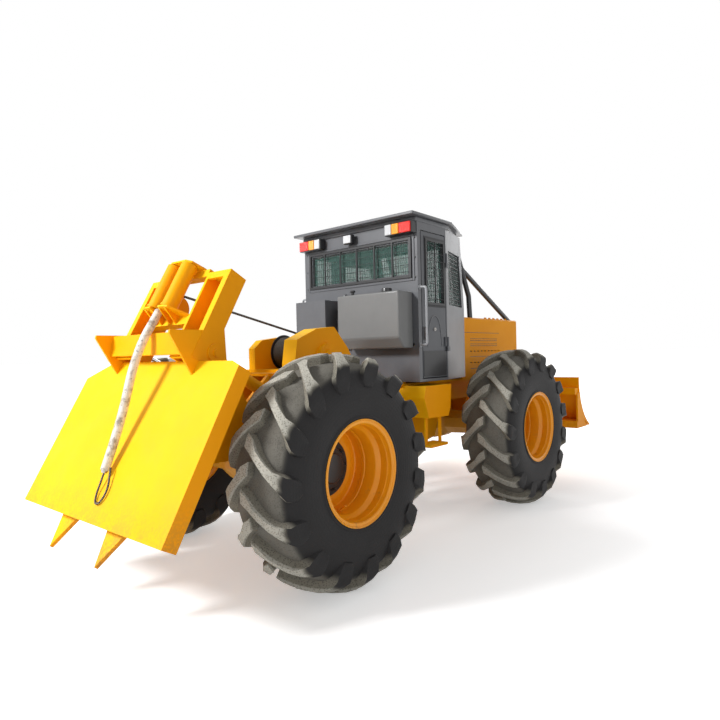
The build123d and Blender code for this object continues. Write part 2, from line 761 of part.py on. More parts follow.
# ---------------------------------------------------------------- front frame
deck_underside = front_deck_height - deck_plate
front_plate_outline = (
    (1300, deck_underside),
    (3840, deck_underside),
    (3840, 1000),
    (3640, 960),
    (3470, 610),
    (3180, 610),
    (3100, 1065),
    (2420, 1065),
    (2280, 700),
    (1400, 545),
    (1300, 545),
)
trunnion_radius = 55.0
trunnion_gap = 40.0
trunnion_hanger = 40.0
trunnion_faces = (wheelbase - axle_bowl_radius - trunnion_gap, wheelbase + axle_bowl_radius + trunnion_gap)
blade_arm_inner = blade_arm_outer - blade_arm_thickness
blade_ram_top = (3550.0, front_deck_height - 80.0)
blade_ram_low = (3750.0, 800.0)
blade_ram_across = 372.0
step_outer = 750.0
step_outline = (
    (1470, deck_underside), (1440, 1170), (1480, 1070), (1505, 985), (1840, 980), (1880, 1060),
    (1900, deck_underside),
)
with BuildPart() as front_frame:
    with BuildSketch(side(frame_half_width)):
        Polygon(*front_plate_outline, align=None)
    extrude(amount=frame_plate)
    steer_ears(steer_front[0], steer_front[1], 1370, 48)
    # bosses and pins of the blade's arm and of its cylinder
    boss = at(blade_hinge[0], frame_half_width, blade_hinge[1])
    rod(boss, at(blade_hinge[0], blade_arm_inner - run_gap, blade_hinge[1]), 70)
    rod(boss, at(blade_hinge[0], blade_arm_outer + 14, blade_hinge[1]), lift_hinge_radius)
    foot = at(blade_ram_top[0], frame_half_width, blade_ram_top[1])
    rod(foot, at(blade_ram_top[0], blade_ram_across - 48, blade_ram_top[1]), 45)
    rod(foot, at(blade_ram_top[0], blade_ram_across + 50, blade_ram_top[1]), lift_pin_radius)
    mirror(about=Plane.XZ)
    # deck, end plates and cab pads
    slab((1430, 3850), (-hood_half_width, hood_half_width), (deck_underside, front_deck_height))
    slab((1290, 1315), (-frame_inner, frame_inner), (1090, deck_underside))
    slab((3815, 3840), (-frame_inner, frame_inner), (1000, deck_underside))
    with Locations(at(0, 0, front_deck_height)):
        with Locations((1520, 420, 0), (1520, -420, 0), (2380, 380, 0), (2380, -380, 0)):
            Cylinder(60, cab_pad_height, align=(Align.CENTER, Align.CENTER, Align.MIN))
    # clevis ears above and below each tongue, and the two pins
    for height in tongue_heights:
        for low in (height - tongue_thickness / 2 - run_gap - 30, height + tongue_thickness / 2 + run_gap):
            with BuildSketch(level(low)):
                with Locations((articulation_station, 0)):
                    Circle(115)
                Polygon(
                    (articulation_station, -115), (1310, -frame_inner), (1400, -frame_inner),
                    (1400, frame_inner), (1310, frame_inner), (articulation_station, 115), align=None,
                )
            extrude(amount=30)
        pin_foot = height - tongue_thickness / 2 - run_gap - 45
        rod(
            at(articulation_station, 0, pin_foot), at(articulation_station, 0, 2 * height - pin_foot),
            articulation_pin_radius,
        )
    # hangers for the swinging axle, below a cross tube
    for station in (trunnion_faces[0] - trunnion_hanger, trunnion_faces[1]):
        with BuildSketch(crosswise(station)):
            Polygon(
                (-frame_inner, 1070), (-110, 730), (110, 730), (frame_inner, 1070), (frame_inner, 1150),
                (-frame_inner, 1150), align=None,
            )
            with Locations((0, axle_height)):
                Circle(trunnion_radius + pin_gap, mode=Mode.SUBTRACT)
        extrude(amount=trunnion_hanger)
save("front_frame", front_frame.part)

with BuildPart() as transmission:
    with BuildSketch(side(200)):
        Polygon(
            (1640, 720), (1640, 1020), (1760, 1150), (2180, 1150), (2230, 1050), (2230, 760), (2120, 690),
            align=None,
        )
    extrude(amount=400)
    slab((1700, 2150), (-frame_inner, frame_inner), (900, 1000))
    rod(at(articulation_station + 60, 0, shaft_height), at(1660, 0, shaft_height), shaft_radius)
    rod(
        at(2210, 0, shaft_height), at(trunnion_faces[0] - trunnion_hanger - 12, 0, shaft_height),
        shaft_radius,
    )
save("transmission", transmission.part)

with BuildPart() as engine_block:
    slab((2760, 3640), (-300, 300), (front_deck_height, hood_top - 110))
save("engine_block", engine_block.part)

with BuildPart() as step_boxes:
    with BuildSketch(side(step_outer)):
        Polygon(*step_outline, align=None)
    extrude(amount=step_outer - frame_half_width)
    for station in (1515, 1745):
        slab((station, station + 36), (step_outer - 60, step_outer - 45), (740, 990))
    slab((1505, 1790), (step_outer - 150, step_outer + 20), (715, 740))
    mirror(about=Plane.XZ)
save("step_boxes", step_boxes.part)

# ---------------------------------------------------------------- swinging front axle
with BuildPart() as front_axle:
    axle_half(wheelbase)
    mirror(about=Plane.XZ)
    rod(
        at(trunnion_faces[0] - trunnion_hanger - 6, 0, axle_height),
        at(trunnion_faces[1] + trunnion_hanger + 6, 0, axle_height),
        trunnion_radius,
    )
    rod(at(trunnion_faces[0] + 6, 0, axle_height), at(trunnion_faces[1] - 6, 0, axle_height), 90)
save("front_axle", front_axle.part)

# ---------------------------------------------------------------- cab
belt_lean = (cab_front - cab_top_front) / (cab_top - cab_belt)
cab_plan = (
    (cab_rear, cab_half_width),
    (cab_taper_station, cab_half_width),
    (cab_front, cab_front_half),
    (cab_front, -cab_front_half),
    (cab_taper_station, -cab_half_width),
    (cab_rear, -cab_half_width),
)
cab_side = (
    (cab_rear, cab_floor),
    (cab_front, cab_floor),
    (cab_front, cab_belt),
    (cab_top_front, cab_top),
    (cab_rear, cab_top),
)
with BuildPart() as cab_room:
    with BuildSketch(level(cab_floor + cab_wall)):
        Polygon(*cab_plan, align=None)
        offset(amount=-cab_wall, kind=Kind.INTERSECTION, mode=Mode.REPLACE)
    extrude(amount=cab_top - cab_floor)
    with BuildSketch(side(cab_half_width)):
        Polygon(
            (cab_rear, cab_floor), (cab_front - cab_wall, cab_floor), (cab_front - cab_wall, cab_belt),
            (cab_top_front - cab_wall - belt_lean * 100, cab_top + 100), (cab_rear, cab_top + 100),
            align=None,
        )
    extrude(amount=2 * cab_half_width, mode=Mode.INTERSECT)

with BuildPart() as cab_shell:
    with BuildSketch(level(cab_floor)):
        Polygon(*cab_plan, align=None)
    extrude(amount=cab_top - cab_floor)
    with BuildSketch(side(cab_half_width)):
        Polygon(*cab_side, align=None)
    extrude(amount=2 * cab_half_width, mode=Mode.INTERSECT)
    add(cab_room.part, mode=Mode.SUBTRACT)
    # door openings, quarter windows, rear window and windscreen
    slab(
        (door_rear, door_front), (-cab_half_width - 1, cab_half_width + 1), (door_low, door_high),
        mode=Mode.SUBTRACT,
    )
    with BuildSketch(side(cab_half_width)):
        Polygon(
            (1975, cab_belt + 15), (2430, cab_belt + 15), (2345, cab_top - 200), (1975, cab_top - 200),
            align=None,
        )
    extrude(amount=2 * cab_half_width, mode=Mode.SUBTRACT)
    slab((cab_rear - 1, cab_rear + cab_wall + 1), (-620, 600), rear_window, mode=Mode.SUBTRACT)
    slab((cab_top_front - 80, cab_front + 1), (-470, 470), (cab_belt + 60, cab_top - 90), mode=Mode.SUBTRACT)
    # hinge leaves that carry the doors' knuckles
    for hand in (-1, 1):
        for height in door_hinge_heights:
            leaf = at(door_front, hand * door_hinge_across, height - 45)
            rod(leaf, at(door_front, hand * door_hinge_across, height - pin_gap), door_knuckle_radius)
            faces = sorted((hand * cab_half_width, hand * (cab_half_width + 12)))
            slab((door_front, door_front + 45), faces, (height - 45, height - pin_gap))
save("cab_shell", cab_shell.part)

with BuildPart() as cab_roof:
    with BuildSketch(level(cab_top)):
        Polygon(
            (roof_rear, roof_half_width), (roof_taper_station, roof_half_width),
            (roof_front, roof_front_half),
            (roof_front, -roof_front_half), (roof_taper_station, -roof_half_width),
            (roof_rear, -roof_half_width),
            align=None,
        )
    extrude(amount=roof_thickness)
    chamfer(cab_roof.faces().sort_by(Axis.Z)[-1].edges(), length=22)
save("cab_roof", cab_roof.part)

for name, hand in (("left", 1), ("right", -1)):
    outer, inner = sorted((hand * cab_half_width, hand * (cab_half_width - cab_wall)), key=abs, reverse=True)
    with BuildPart() as door:
        slab(
            (door_rear + door_gap, door_front - door_gap), sorted((outer, inner)),
            (door_low + door_gap, door_high - door_gap),
        )
        slab((1555, 1845), sorted((outer, inner)), door_window, mode=Mode.SUBTRACT)
        # hinge knuckles on the front edge
        for height in door_hinge_heights:
            hinge = at(door_front, hand * door_hinge_across, height)
            rod(hinge, at(door_front, hand * door_hinge_across, height + 90), door_knuckle_radius)
            slab(
                (door_front - 40, door_front), sorted((outer, hand * (cab_half_width + 12))),
                (height, height + 90),
            )
    save(f"door_{name}", door.part)
    with BuildPart() as pane:
        middle = hand * (cab_half_width - cab_wall / 2)
        slab((1555, 1845), (middle - glass_thickness / 2, middle + glass_thickness / 2), door_window)
    save(f"door_glass_{name}", pane.part)

with BuildPart() as cab_glass:
    slab((cab_rear + 22, cab_rear + 28), (-620, 600), rear_window)
save("cab_glass", cab_glass.part)

guard_rim = 35.0  # how far the guard reaches past the window above and below
with BuildPart() as window_guards:
    with BuildSketch(crosswise(cab_rear - 16)):
        with Locations((-10, sum(rear_window) / 2)):
            Rectangle(1300, rear_window[1] - rear_window[0] + 2 * guard_rim)
            with GridLocations(122, 116, 10, 3):
                Rectangle(108, 102, mode=Mode.SUBTRACT)
    extrude(amount=16)
save("window_guards", window_guards.part)

seat_height = cab_floor + 380.0
with BuildPart() as operator_seat:
    slab((1600, 1900), (-180, 180), (cab_floor + cab_wall, seat_height))
    with Locations(at(1540, -240, seat_height)):
        Box(480, 480, 120, align=(Align.MIN, Align.MIN, Align.MIN))
    slab((1500, 1600), (-220, 220), (seat_height + 120, seat_height + 580))
save("operator_seat", operator_seat.part)

with BuildPart() as control_console:
    slab((2280, 2430), (-300, 300), (cab_floor + cab_wall, cab_belt - 80))
save("control_console", control_console.part)

# ---------------------------------------------------------------- tanks, rails, risers and lamps
tank_low, tank_high = cab_floor + 310.0, rear_window[0] - 160.0
with BuildPart() as fuel_tank:
    with BuildSketch(side(70)):
        Polygon(
            (1200, tank_low + 90), (1200, tank_high), (cab_rear, tank_high), (cab_rear, tank_low),
            (1280, tank_low), align=None,
        )
    extrude(amount=730)
    rod(at(1310, -450, tank_high), at(1310, -450, tank_high + 25), 55)
save("fuel_tank", fuel_tank.part)

with BuildPart() as hydraulic_tank:
    slab((1200, cab_rear), (230, 640), (tank_low + 10, tank_high - 20))
save("hydraulic_tank", hydraulic_tank.part)

with BuildPart() as rear_lamps:
    for across in (-710, 420):
        slab((1330, cab_rear), (across, across + 290), (cab_top - 100, cab_top))
    slab((1340, cab_rear), (0, 110), (cab_top - 110, cab_top - 15))
save("rear_lamps", rear_lamps.part)

grab_low, grab_high = cab_floor + 330.0, cab_floor + 860.0
with BuildPart() as grab_handles:
    for hand in (-1, 1):
        face, out = hand * cab_half_width, hand * (cab_half_width + 70)
        rod(at(1446, face, grab_low), at(1446, out, grab_low), 12)
        rod(at(1446, out, grab_low - 12), at(1446, out, grab_high + 12), 12)
        rod(at(1446, out, grab_high), at(1446, face, grab_high), 12)
save("grab_handles", grab_handles.part)

with BuildPart() as limb_risers:
    for hand in (-1, 1):
        foot = hand * (hood_half_width - 45)
        rod(at(2805, foot, hood_top - 60), at(2780, foot, cab_belt + 170), 28)
        rod(at(2780, foot, cab_belt + 170), at(2460, foot, cab_top + 60), 28)
        rod(at(3780, foot, hood_top - 30), at(2650, foot, cab_belt + 450), 28)
    slab((2700, 3900), (-hood_half_width, hood_half_width), (hood_top - 200, hood_top), mode=Mode.SUBTRACT)
    slab((2300, 2600), (-hood_half_width, hood_half_width), (cab_top, cab_top + 200), mode=Mode.SUBTRACT)
save("limb_risers", limb_risers.part)

# ---------------------------------------------------------------- hood
with BuildPart() as hood:
    with BuildSketch(crosswise(cab_front + 12)):
        Polygon(
            (-hood_half_width, front_deck_height), (-hood_half_width, hood_top - 15),
            (-hood_half_width + 15, hood_top),
            (hood_half_width - 15, hood_top), (hood_half_width, hood_top - 15),
            (hood_half_width, front_deck_height), align=None,
        )
    extrude(amount=hood_front - cab_front - 12)
    offset(amount=-hood_wall, openings=hood.faces().sort_by(Axis.Z)[:1] + hood.faces().sort_by(Axis.X)[:1])
    # air slots through both side panels
    for across in (-hood_half_width, hood_half_width - hood_wall):
        with BuildSketch(side(across + hood_wall)):
            for height in hood_slot_heights:
                with Locations((hood_slot_station, height)):
                    with GridLocations(hood_slot_pitch, 0, hood_slot_count, 1):
                        Rectangle(hood_slot_length, hood_slot_width)
        extrude(amount=hood_wall, mode=Mode.SUBTRACT)
save("hood", hood.part)

with BuildPart() as radiator_grille:
    with BuildSketch(crosswise(hood_front)):
        with Locations((0, 1640)):
            Rectangle(860, 560)
            with GridLocations(0, 60, 1, 8):
                Rectangle(780, 36, mode=Mode.SUBTRACT)
    extrude(amount=24)
save("radiator_grille", radiator_grille.part)

# ---------------------------------------------------------------- blade
board_mid = (4395.0, 900.0)
board_thickness = 22.0
with BuildPart() as blade:
    with BuildSketch(side(blade_half_width)):
        with BuildLine():
            face = ThreePointArc(blade_top, board_mid, blade_edge)
            heel = Line(blade_edge, (blade_edge[0] - 60, blade_edge[1] - 5))
            back = ThreePointArc(
                heel @ 1, (board_mid[0] - 26, board_mid[1] - 8), (blade_top[0] - 24, blade_top[1]),
            )
            Line(back @ 1, blade_top)
        make_face()
    extrude(amount=2 * blade_half_width)
    for low, high, depth in ((1030, 1110, 4200), (610, 700, 4260)):
        with BuildSketch(side(blade_half_width - 10)):
            with BuildLine():
                Polyline(
                    (4330 if low > 900 else 4600, low), (depth, low), (depth, high),
                    (4345 if low > 900 else 4510, high), close=True,
                )
            make_face()
        extrude(amount=2 * blade_half_width - 20)
    for across in (-blade_half_width + 20, -500, 0, 500, blade_half_width):
        with BuildSketch(side(across)):
            Polygon((4262, 690), (4262, 1050), (4345, 1050), (4390, 860), (4520, 690), align=None)
        extrude(amount=20)
    for across in (blade_arm_outer, -blade_arm_inner):
        with BuildSketch(side(across)):
            with Locations(blade_hinge):
                Circle(88)
            Polygon((3300, 788), (3750, 870), (4270, 900), (4270, 680), (3750, 700), (3300, 612), align=None)
        extrude(amount=blade_arm_thickness)
    for hand in (-1, 1):
        rod(
            at(blade_hinge[0], hand * (blade_arm_inner - 1), blade_hinge[1]),
            at(blade_hinge[0], hand * (blade_arm_outer + 1), blade_hinge[1]), lift_hinge_radius + pin_gap,
            mode=Mode.SUBTRACT,
        )
        rod(
            at(blade_ram_low[0], hand * blade_arm_inner, blade_ram_low[1]),
            at(blade_ram_low[0], hand * (blade_ram_across - 40), blade_ram_low[1]), lift_pin_radius,
        )
save("blade", blade.part)

# ---------------------------------------------------------------- hydraulic cylinders
eye_slack = 8.0


def ram_barrel(foot, head, sideways, length, radius, bore, eye):
    """Barrel on its foot pin, pointing at the far pin; `sideways` is the pins' direction."""
    line = (Vector(*head) - Vector(*foot)).normalized()
    half = Vector(*sideways) * (eye[1] / 2)
    rod(tuple(Vector(*foot) + line * (eye[0] * 0.8)), tuple(Vector(*foot) + line * 70), eye[1] / 2 - 3)
    rod(tuple(Vector(*foot) + line * 62), tuple(Vector(*foot) + line * length), radius)
    rod(tuple(Vector(*foot) + line * (length - 30)), tuple(Vector(*foot) + line * length), radius + 6)
    rod(tuple(Vector(*foot) - half), tuple(Vector(*foot) + half), eye[0])
    rod(tuple(Vector(*foot) - half), tuple(Vector(*foot) + half), eye[2] + pin_gap, mode=Mode.SUBTRACT)
    rod(
        tuple(Vector(*foot) + line * (eye[0] + 15)), tuple(Vector(*foot) + line * (length + 1)), bore,
        mode=Mode.SUBTRACT,
    )


def ram_rod(foot, head, sideways, length, radius, eye, open_eye=True):
    """Rod reaching from its eye at the far pin back into the barrel."""
    line = (Vector(*head) - Vector(*foot)).normalized()
    half = Vector(*sideways) * (eye[1] / 2)
    rod(tuple(Vector(*head) - line * length), tuple(Vector(*head)), radius)
    rod(tuple(Vector(*head) - half), tuple(Vector(*head) + half), eye[0])
    if open_eye:
        rod(tuple(Vector(*head) - half), tuple(Vector(*head) + half), eye[2] + eye_slack, mode=Mode.SUBTRACT)


across_axis, up_axis = (0, 1, 0), (0, 0, 1)
# name, foot and head (station, height), place across, barrel length, rod length, radii of barrel and rod
ram_sets = (
    ("lift", lift_ram_foot, lift_pin, lift_ram_across, 620, 647, 45, 25),
    ("blade", blade_ram_top, blade_ram_low, blade_ram_across, 360, 355, 38, 20),
)
for name, foot, head, across, barrel_length, rod_length, barrel_radius, rod_radius in ram_sets:
    with BuildPart() as barrels:
        for hand in (-1, 1):
            ram_barrel(
                at(foot[0], hand * across, foot[1]), at(head[0], hand * across, head[1]), across_axis,
                barrel_length, barrel_radius, rod_radius + pin_gap, (46, 60, lift_pin_radius),
            )
    save(f"{name}_barrels", barrels.part)
    with BuildPart() as rods:
        for hand in (-1, 1):
            ram_rod(
                at(foot[0], hand * across, foot[1]), at(head[0], hand * across, head[1]), across_axis,
                rod_length, rod_radius, (46, 56, lift_pin_radius),
            )
    save(f"{name}_rods", rods.part)

for name, hand in (("left", 1), ("right", -1)):
    foot = at(steer_rear[0], hand * steer_rear[1], steer_height)
    head = at(steer_front[0], hand * steer_front[1], steer_height)
    with BuildPart() as barrel:
        ram_barrel(foot, head, up_axis, 575, 40, 22 + pin_gap, (42, steer_eye_width, steer_pin_radius))
    save(f"steer_barrel_{name}", barrel.part)
    with BuildPart() as ram:
        ram_rod(foot, head, up_axis, 590, 22, (42, steer_eye_width, steer_pin_radius), open_eye=False)
    save(f"steer_rod_{name}", ram.part)
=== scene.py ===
"""Looks for the cable log skidder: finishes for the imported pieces, and their trim, tyres, glass and ropes."""

import json
import math

import bmesh
import bpy
from mathutils import Matrix, Vector


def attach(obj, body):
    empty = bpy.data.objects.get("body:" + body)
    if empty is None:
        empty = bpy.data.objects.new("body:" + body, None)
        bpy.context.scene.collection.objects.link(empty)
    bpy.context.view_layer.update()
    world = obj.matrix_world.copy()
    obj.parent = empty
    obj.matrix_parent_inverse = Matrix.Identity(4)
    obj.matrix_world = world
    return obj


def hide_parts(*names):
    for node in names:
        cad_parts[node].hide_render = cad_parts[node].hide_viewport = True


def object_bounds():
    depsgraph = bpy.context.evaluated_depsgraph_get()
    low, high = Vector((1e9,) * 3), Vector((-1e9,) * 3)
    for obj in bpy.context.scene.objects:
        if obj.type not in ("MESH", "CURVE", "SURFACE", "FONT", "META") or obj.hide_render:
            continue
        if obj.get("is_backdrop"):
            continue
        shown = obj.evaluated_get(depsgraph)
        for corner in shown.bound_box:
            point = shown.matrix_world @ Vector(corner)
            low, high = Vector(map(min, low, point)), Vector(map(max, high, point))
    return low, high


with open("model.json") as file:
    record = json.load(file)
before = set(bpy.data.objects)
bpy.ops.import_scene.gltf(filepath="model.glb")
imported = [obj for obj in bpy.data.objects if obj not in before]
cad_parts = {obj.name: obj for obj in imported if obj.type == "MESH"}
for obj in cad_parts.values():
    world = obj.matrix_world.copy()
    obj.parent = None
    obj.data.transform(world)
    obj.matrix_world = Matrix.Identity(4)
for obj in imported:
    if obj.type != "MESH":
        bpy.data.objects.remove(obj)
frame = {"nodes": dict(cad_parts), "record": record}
cad_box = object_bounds()
scene = bpy.context.scene

AXLE_X = -1.66147  # the rear axle in the machine's frame
TILT = math.radians(29.1)  # lean of the butt plate
LIFT_PIN = (-0.610, 1.610)
WHEELBASE = 2.8
WHEEL_Y = 0.99
AXLE_Z = 0.8
WHEELS = {  # place along X, and hand
    "rear_left": (AXLE_X, 1),
    "rear_right": (AXLE_X, -1),
    "front_left": (AXLE_X + WHEELBASE, 1),
    "front_right": (AXLE_X + WHEELBASE, -1),
}
SIDES = ((1, "left"), (-1, "right"))


def at(station, across, height):
    """A place on the machine, its station counted from the rear axle, in metres."""
    return Vector((AXLE_X + station, across, height))


def lift(out, across, up):
    """A place on the rear lift: `out` behind its pin, `up` along the plate."""
    return Vector(
        (
            AXLE_X + LIFT_PIN[0] - out * math.cos(TILT) + up * math.sin(TILT),
            across,
            LIFT_PIN[1] + out * math.sin(TILT) + up * math.cos(TILT),
        )
    )


# ---------------------------------------------------------------- shader language
class Value:
    """A shader socket that arithmetic can be written with; each operation adds its Math node."""

    def __init__(self, shader, socket):
        self.shader = shader
        self.socket = socket

    def math(self, operation, *operands, clamp=False):
        return self.shader.node(
            "ShaderNodeMath", {"operation": operation, "use_clamp": clamp}, dict(enumerate(operands))
        )

    def __add__(self, other):
        return self.math("ADD", self, other)

    def __radd__(self, other):
        return self.math("ADD", other, self)

    def __sub__(self, other):
        return self.math("SUBTRACT", self, other)

    def __rsub__(self, other):
        return self.math("SUBTRACT", other, self)

    def __mul__(self, other):
        return self.math("MULTIPLY", self, other)

    def __rmul__(self, other):
        return self.math("MULTIPLY", other, self)

    def __pow__(self, other):
        return self.math("POWER", self, other)

    def root(self):
        return self.math("SQRT", self)

    def sine(self):
        return self.math("SINE", self)

    def magnitude(self):
        return self.math("ABSOLUTE", self)

    def rise(self, low, high):
        """0 below `low`, 1 above `high`, smooth between them."""
        return self.shader.node(
            "ShaderNodeMapRange",
            {"interpolation_type": "SMOOTHSTEP", "clamp": True},
            {"Value": self, "From Min": low, "From Max": high},
            "Result",
        )

    def clamp(self):
        return self.math("ADD", self, 0.0, clamp=True)


class Shader:
    """A node tree that nodes are added to; each returns one of its outputs as a value."""

    def __init__(self, tree):
        self.tree = tree

    def node(self, kind, settings=None, inputs=None, output=0):
        """Adds a node, sets it up, feeds its sockets and returns one of its outputs."""
        made = self.tree.nodes.new(kind)
        for key, value in (settings or {}).items():
            setattr(made, key, value)
        for key, value in (inputs or {}).items():
            if isinstance(value, Value):
                self.tree.links.new(value.socket, made.inputs[key])
            elif isinstance(value, tuple) and len(made.inputs[key].default_value) == 4:
                made.inputs[key].default_value = (*value, 1.0)
            else:
                made.inputs[key].default_value = value
        return Value(self, made.outputs[output])

    def background_ray(self):
        """1 where the camera, a mirror or glass looks, 0 where light falls on the object."""
        rays = self.node("ShaderNodeLightPath").socket.node.outputs
        camera, glossy, through = (
            Value(self, rays[f"Is {kind} Ray"]) for kind in ("Camera", "Glossy", "Transmission")
        )
        return (camera + glossy + through).clamp()


class Finish(Shader):
    """One material: its node tree, its shader and the patterns that feed it."""

    def __init__(self, name, **constants):
        self.material = bpy.data.materials.new(name)
        self.material.use_nodes = True
        super().__init__(self.material.node_tree)
        self.shader = self.tree.nodes["Principled BSDF"]
        for socket, value in constants.items():
            self.shader.inputs[socket.replace("_", " ")].default_value = value
        self._place = None

    def place(self):
        """Object coordinates, which are the machine's own."""
        if self._place is None:
            self._place = self.node("ShaderNodeTexCoord", output="Object")
        return self._place

    def stretched(self, *scale):
        """Object coordinates stretched along the three axes."""
        return self.node("ShaderNodeMapping", {}, {"Vector": self.place(), "Scale": scale})

    def axes(self, vector=None):
        """The three numbers of a vector, by default of the place."""
        split = self.node("ShaderNodeSeparateXYZ", {}, {0: vector or self.place()})
        outputs = split.socket.node.outputs
        return [Value(self, outputs[i]) for i in range(3)]

    def noise(self, scale, detail=3.0, rough=0.55, vector=None):
        return self.node(
            "ShaderNodeTexNoise", {},
            {"Vector": vector or self.place(), "Scale": scale, "Detail": detail, "Roughness": rough},
        )

    def cells(self, scale, vector=None):
        return self.node("ShaderNodeTexVoronoi", {}, {"Vector": vector or self.place(), "Scale": scale})

    def facing(self):
        """The way the surface looks, as its three numbers: upward ones have a third near 1."""
        return self.axes(self.node("ShaderNodeNewGeometry", output="Normal"))

    def from_wheel(self, centre_x, hand):
        """Radius from a wheel's axle, and the place outward from its middle plane."""
        x, y, z = self.axes()
        return ((x - centre_x) ** 2.0 + (z - AXLE_Z) ** 2.0).root(), (y - WHEEL_Y * hand) * hand

    def mix(self, amount, first, second):
        return self.node(
            "ShaderNodeMix", {"data_type": "RGBA"}, {0: amount, 6: first, 7: second}, output=2
        )

    def bump(self, height, strength, distance, normal=None):
        inputs = {"Height": height, "Strength": strength, "Distance": distance}
        if normal is not None:
            inputs["Normal"] = normal
        return self.node("ShaderNodeBump", {}, inputs)

    def feed(self, **sockets):
        """Links or sets the shader's sockets and returns the material."""
        for name, value in sockets.items():
            socket = self.shader.inputs[name.replace("_", " ")]
            if isinstance(value, Value):
                self.tree.links.new(value.socket, socket)
            else:
                socket.default_value = value
        return self.material


DUST = (0.36, 0.30, 0.22)
SOIL = (0.13, 0.095, 0.06)


def dusted(finish, base, rough, dust):
    """Adds settled dust on upward faces and splashed soil near the ground to a colour and a roughness."""
    cloud = finish.noise(6.0, 5.0, 0.62)
    speck = finish.noise(55.0, 3.0, 0.6)
    settled = finish.facing()[2].rise(0.35, 0.95) * cloud.rise(0.38, 0.72) * dust
    height = finish.axes()[2]
    splash = (1.0 - height.rise(0.25, 0.9)) * (cloud * speck).rise(0.16, 0.36) * 0.55
    color = finish.mix(settled, base, DUST)
    color = finish.mix(splash, color, SOIL)
    return color, (rough + (settled + splash) * 0.35).clamp()


def painted(
    name, color, shade, rough=0.36, dust=0.30, wear=0.16, primer=(0.16, 0.07, 0.03), coat=0.25, gleam=0.32,
    side=None,
):
    """Sprayed machine paint: cloudy tone, orange peel, small chips and dust.

    `side` is a painted shade: a deeper orange given to faces that look sideways, standing in for the shade on
    the machine's sides.
    """
    finish = Finish(name, Coat_Roughness=0.18, Specular_IOR_Level=gleam)
    tone = finish.noise(2.3, 4.0, 0.6)
    base = finish.mix(tone.rise(0.3, 0.75) * 0.7, color, shade)
    # painted shade: faces that look sideways are tinted towards `side`, a deeper orange
    if side:
        base = finish.mix(finish.facing()[1].magnitude().rise(0.40, 0.90) * 0.8, base, side)
    flakes = finish.noise(34.0, 6.0, 0.72).rise(0.70, 0.745)
    chips = flakes * finish.noise(3.1, 2.0).rise(0.48, 0.66) * wear * 5.0
    base = finish.mix(chips.clamp(), base, primer)
    streaks = finish.noise(9.0, 4.0, 0.6, vector=finish.stretched(1.0, 1.0, 0.12)).rise(0.55, 0.82)
    base = finish.mix(streaks * 0.22, base, shade)
    base, gloss = dusted(finish, base, rough + tone * 0.12, dust)
    peel = finish.noise(420.0, 2.0, 0.5)
    normal = finish.bump(peel, 0.035, 0.002)
    normal = finish.bump(chips, 0.15, 0.001, normal)
    return finish.feed(
        Base_Color=base, Roughness=gloss, Normal=normal, Coat_Weight=(coat * (1.0 - chips)).clamp(),
    )


def tyre_finish(name, centre_x, hand, bar):
    """Black rubber: pale scuffed bar tops, dusty flanks and tread, near-black walls with fine rings; faces that
    look sideways get no dust, partly as painted shade.
    """
    finish = Finish(name, Specular_IOR_Level=0.25)
    radius, outward = finish.from_wheel(centre_x, hand)
    across = outward ** 2.0
    cloud = finish.noise(7.0, 6.0, 0.65)
    grain = finish.noise(120.0, 3.0, 0.7)
    crumbs = finish.cells(95.0).rise(0.15, 0.5)
    # painted shade, in part: faces that look sideways, the walls and the bars' ends, are kept dark rubber
    # without dust or wear
    sideways = finish.facing()[1].magnitude().rise(0.62, 0.88) * across.rise(0.020, 0.036)
    tread = radius.rise(0.64, 0.70) * (1.0 - sideways)
    dirt = tread * (cloud * 0.65 + grain * 0.5).rise(0.30, 0.54)
    rubber = finish.mix(cloud, (0.007, 0.0065, 0.007), (0.016, 0.015, 0.015))
    color = finish.mix(dirt * 0.9, rubber, (0.235, 0.220, 0.180) if bar else (0.165, 0.156, 0.134))
    if bar:
        worn = (radius + across * 0.9).rise(0.779, 0.789) * (1.0 - sideways)
        color = finish.mix(worn * (cloud * 0.5 + grain * 0.7).rise(0.36, 0.50), color, (0.40, 0.385, 0.335))
    color = finish.mix((1.0 - crumbs) * dirt * (0.62 if bar else 0.35), color, (0.040, 0.036, 0.028))
    wall_rings = (radius * 260.0).sine() * (1.0 - tread) * radius.rise(0.38, 0.40)
    normal = finish.bump(wall_rings, 0.10, 0.002)
    normal = finish.bump(grain + crumbs * 0.5, 0.35, 0.003, normal)
    return finish.feed(Base_Color=color, Roughness=(0.62 + dirt * 0.32).clamp(), Normal=normal)


def rim_finish(name, centre_x, hand):
    """Sprayed rim: golden barrel and outer disc; the hub and inner disc at the dish's bottom near black, partly
    black paint and partly painted shade of the deep dish.
    """
    finish = Finish(name, Coat_Roughness=0.2, Specular_IOR_Level=0.35)
    radius, outward = finish.from_wheel(centre_x, hand)
    # painted shade: the hub and the disc's middle at the bottom of the deep dish are near black, partly black
    # paint
    dark_hub_and_painted_shade = (1.0 - radius.rise(0.198, 0.204)) * (1.0 - outward.rise(0.02, 0.05))
    tone = finish.noise(3.0, 4.0, 0.6)
    base = finish.mix(tone.rise(0.3, 0.75) * 0.7, (0.90, 0.36, 0.004), (0.80, 0.28, 0.003))
    base = finish.mix(dark_hub_and_painted_shade, base, (0.010, 0.009, 0.009))
    low = 1.0 - finish.axes()[2].rise(0.45, 0.85)
    mud = finish.noise(9.0, 6.0, 0.7).rise(0.56, 0.72) * low * 0.5
    base = finish.mix(mud, base, SOIL)
    return finish.feed(
        Base_Color=base, Roughness=(0.34 + tone * 0.12 + mud * 0.4).clamp(), Coat_Weight=0.2,
        Normal=finish.bump(finish.noise(420.0, 2.0, 0.5), 0.035, 0.002),
    )


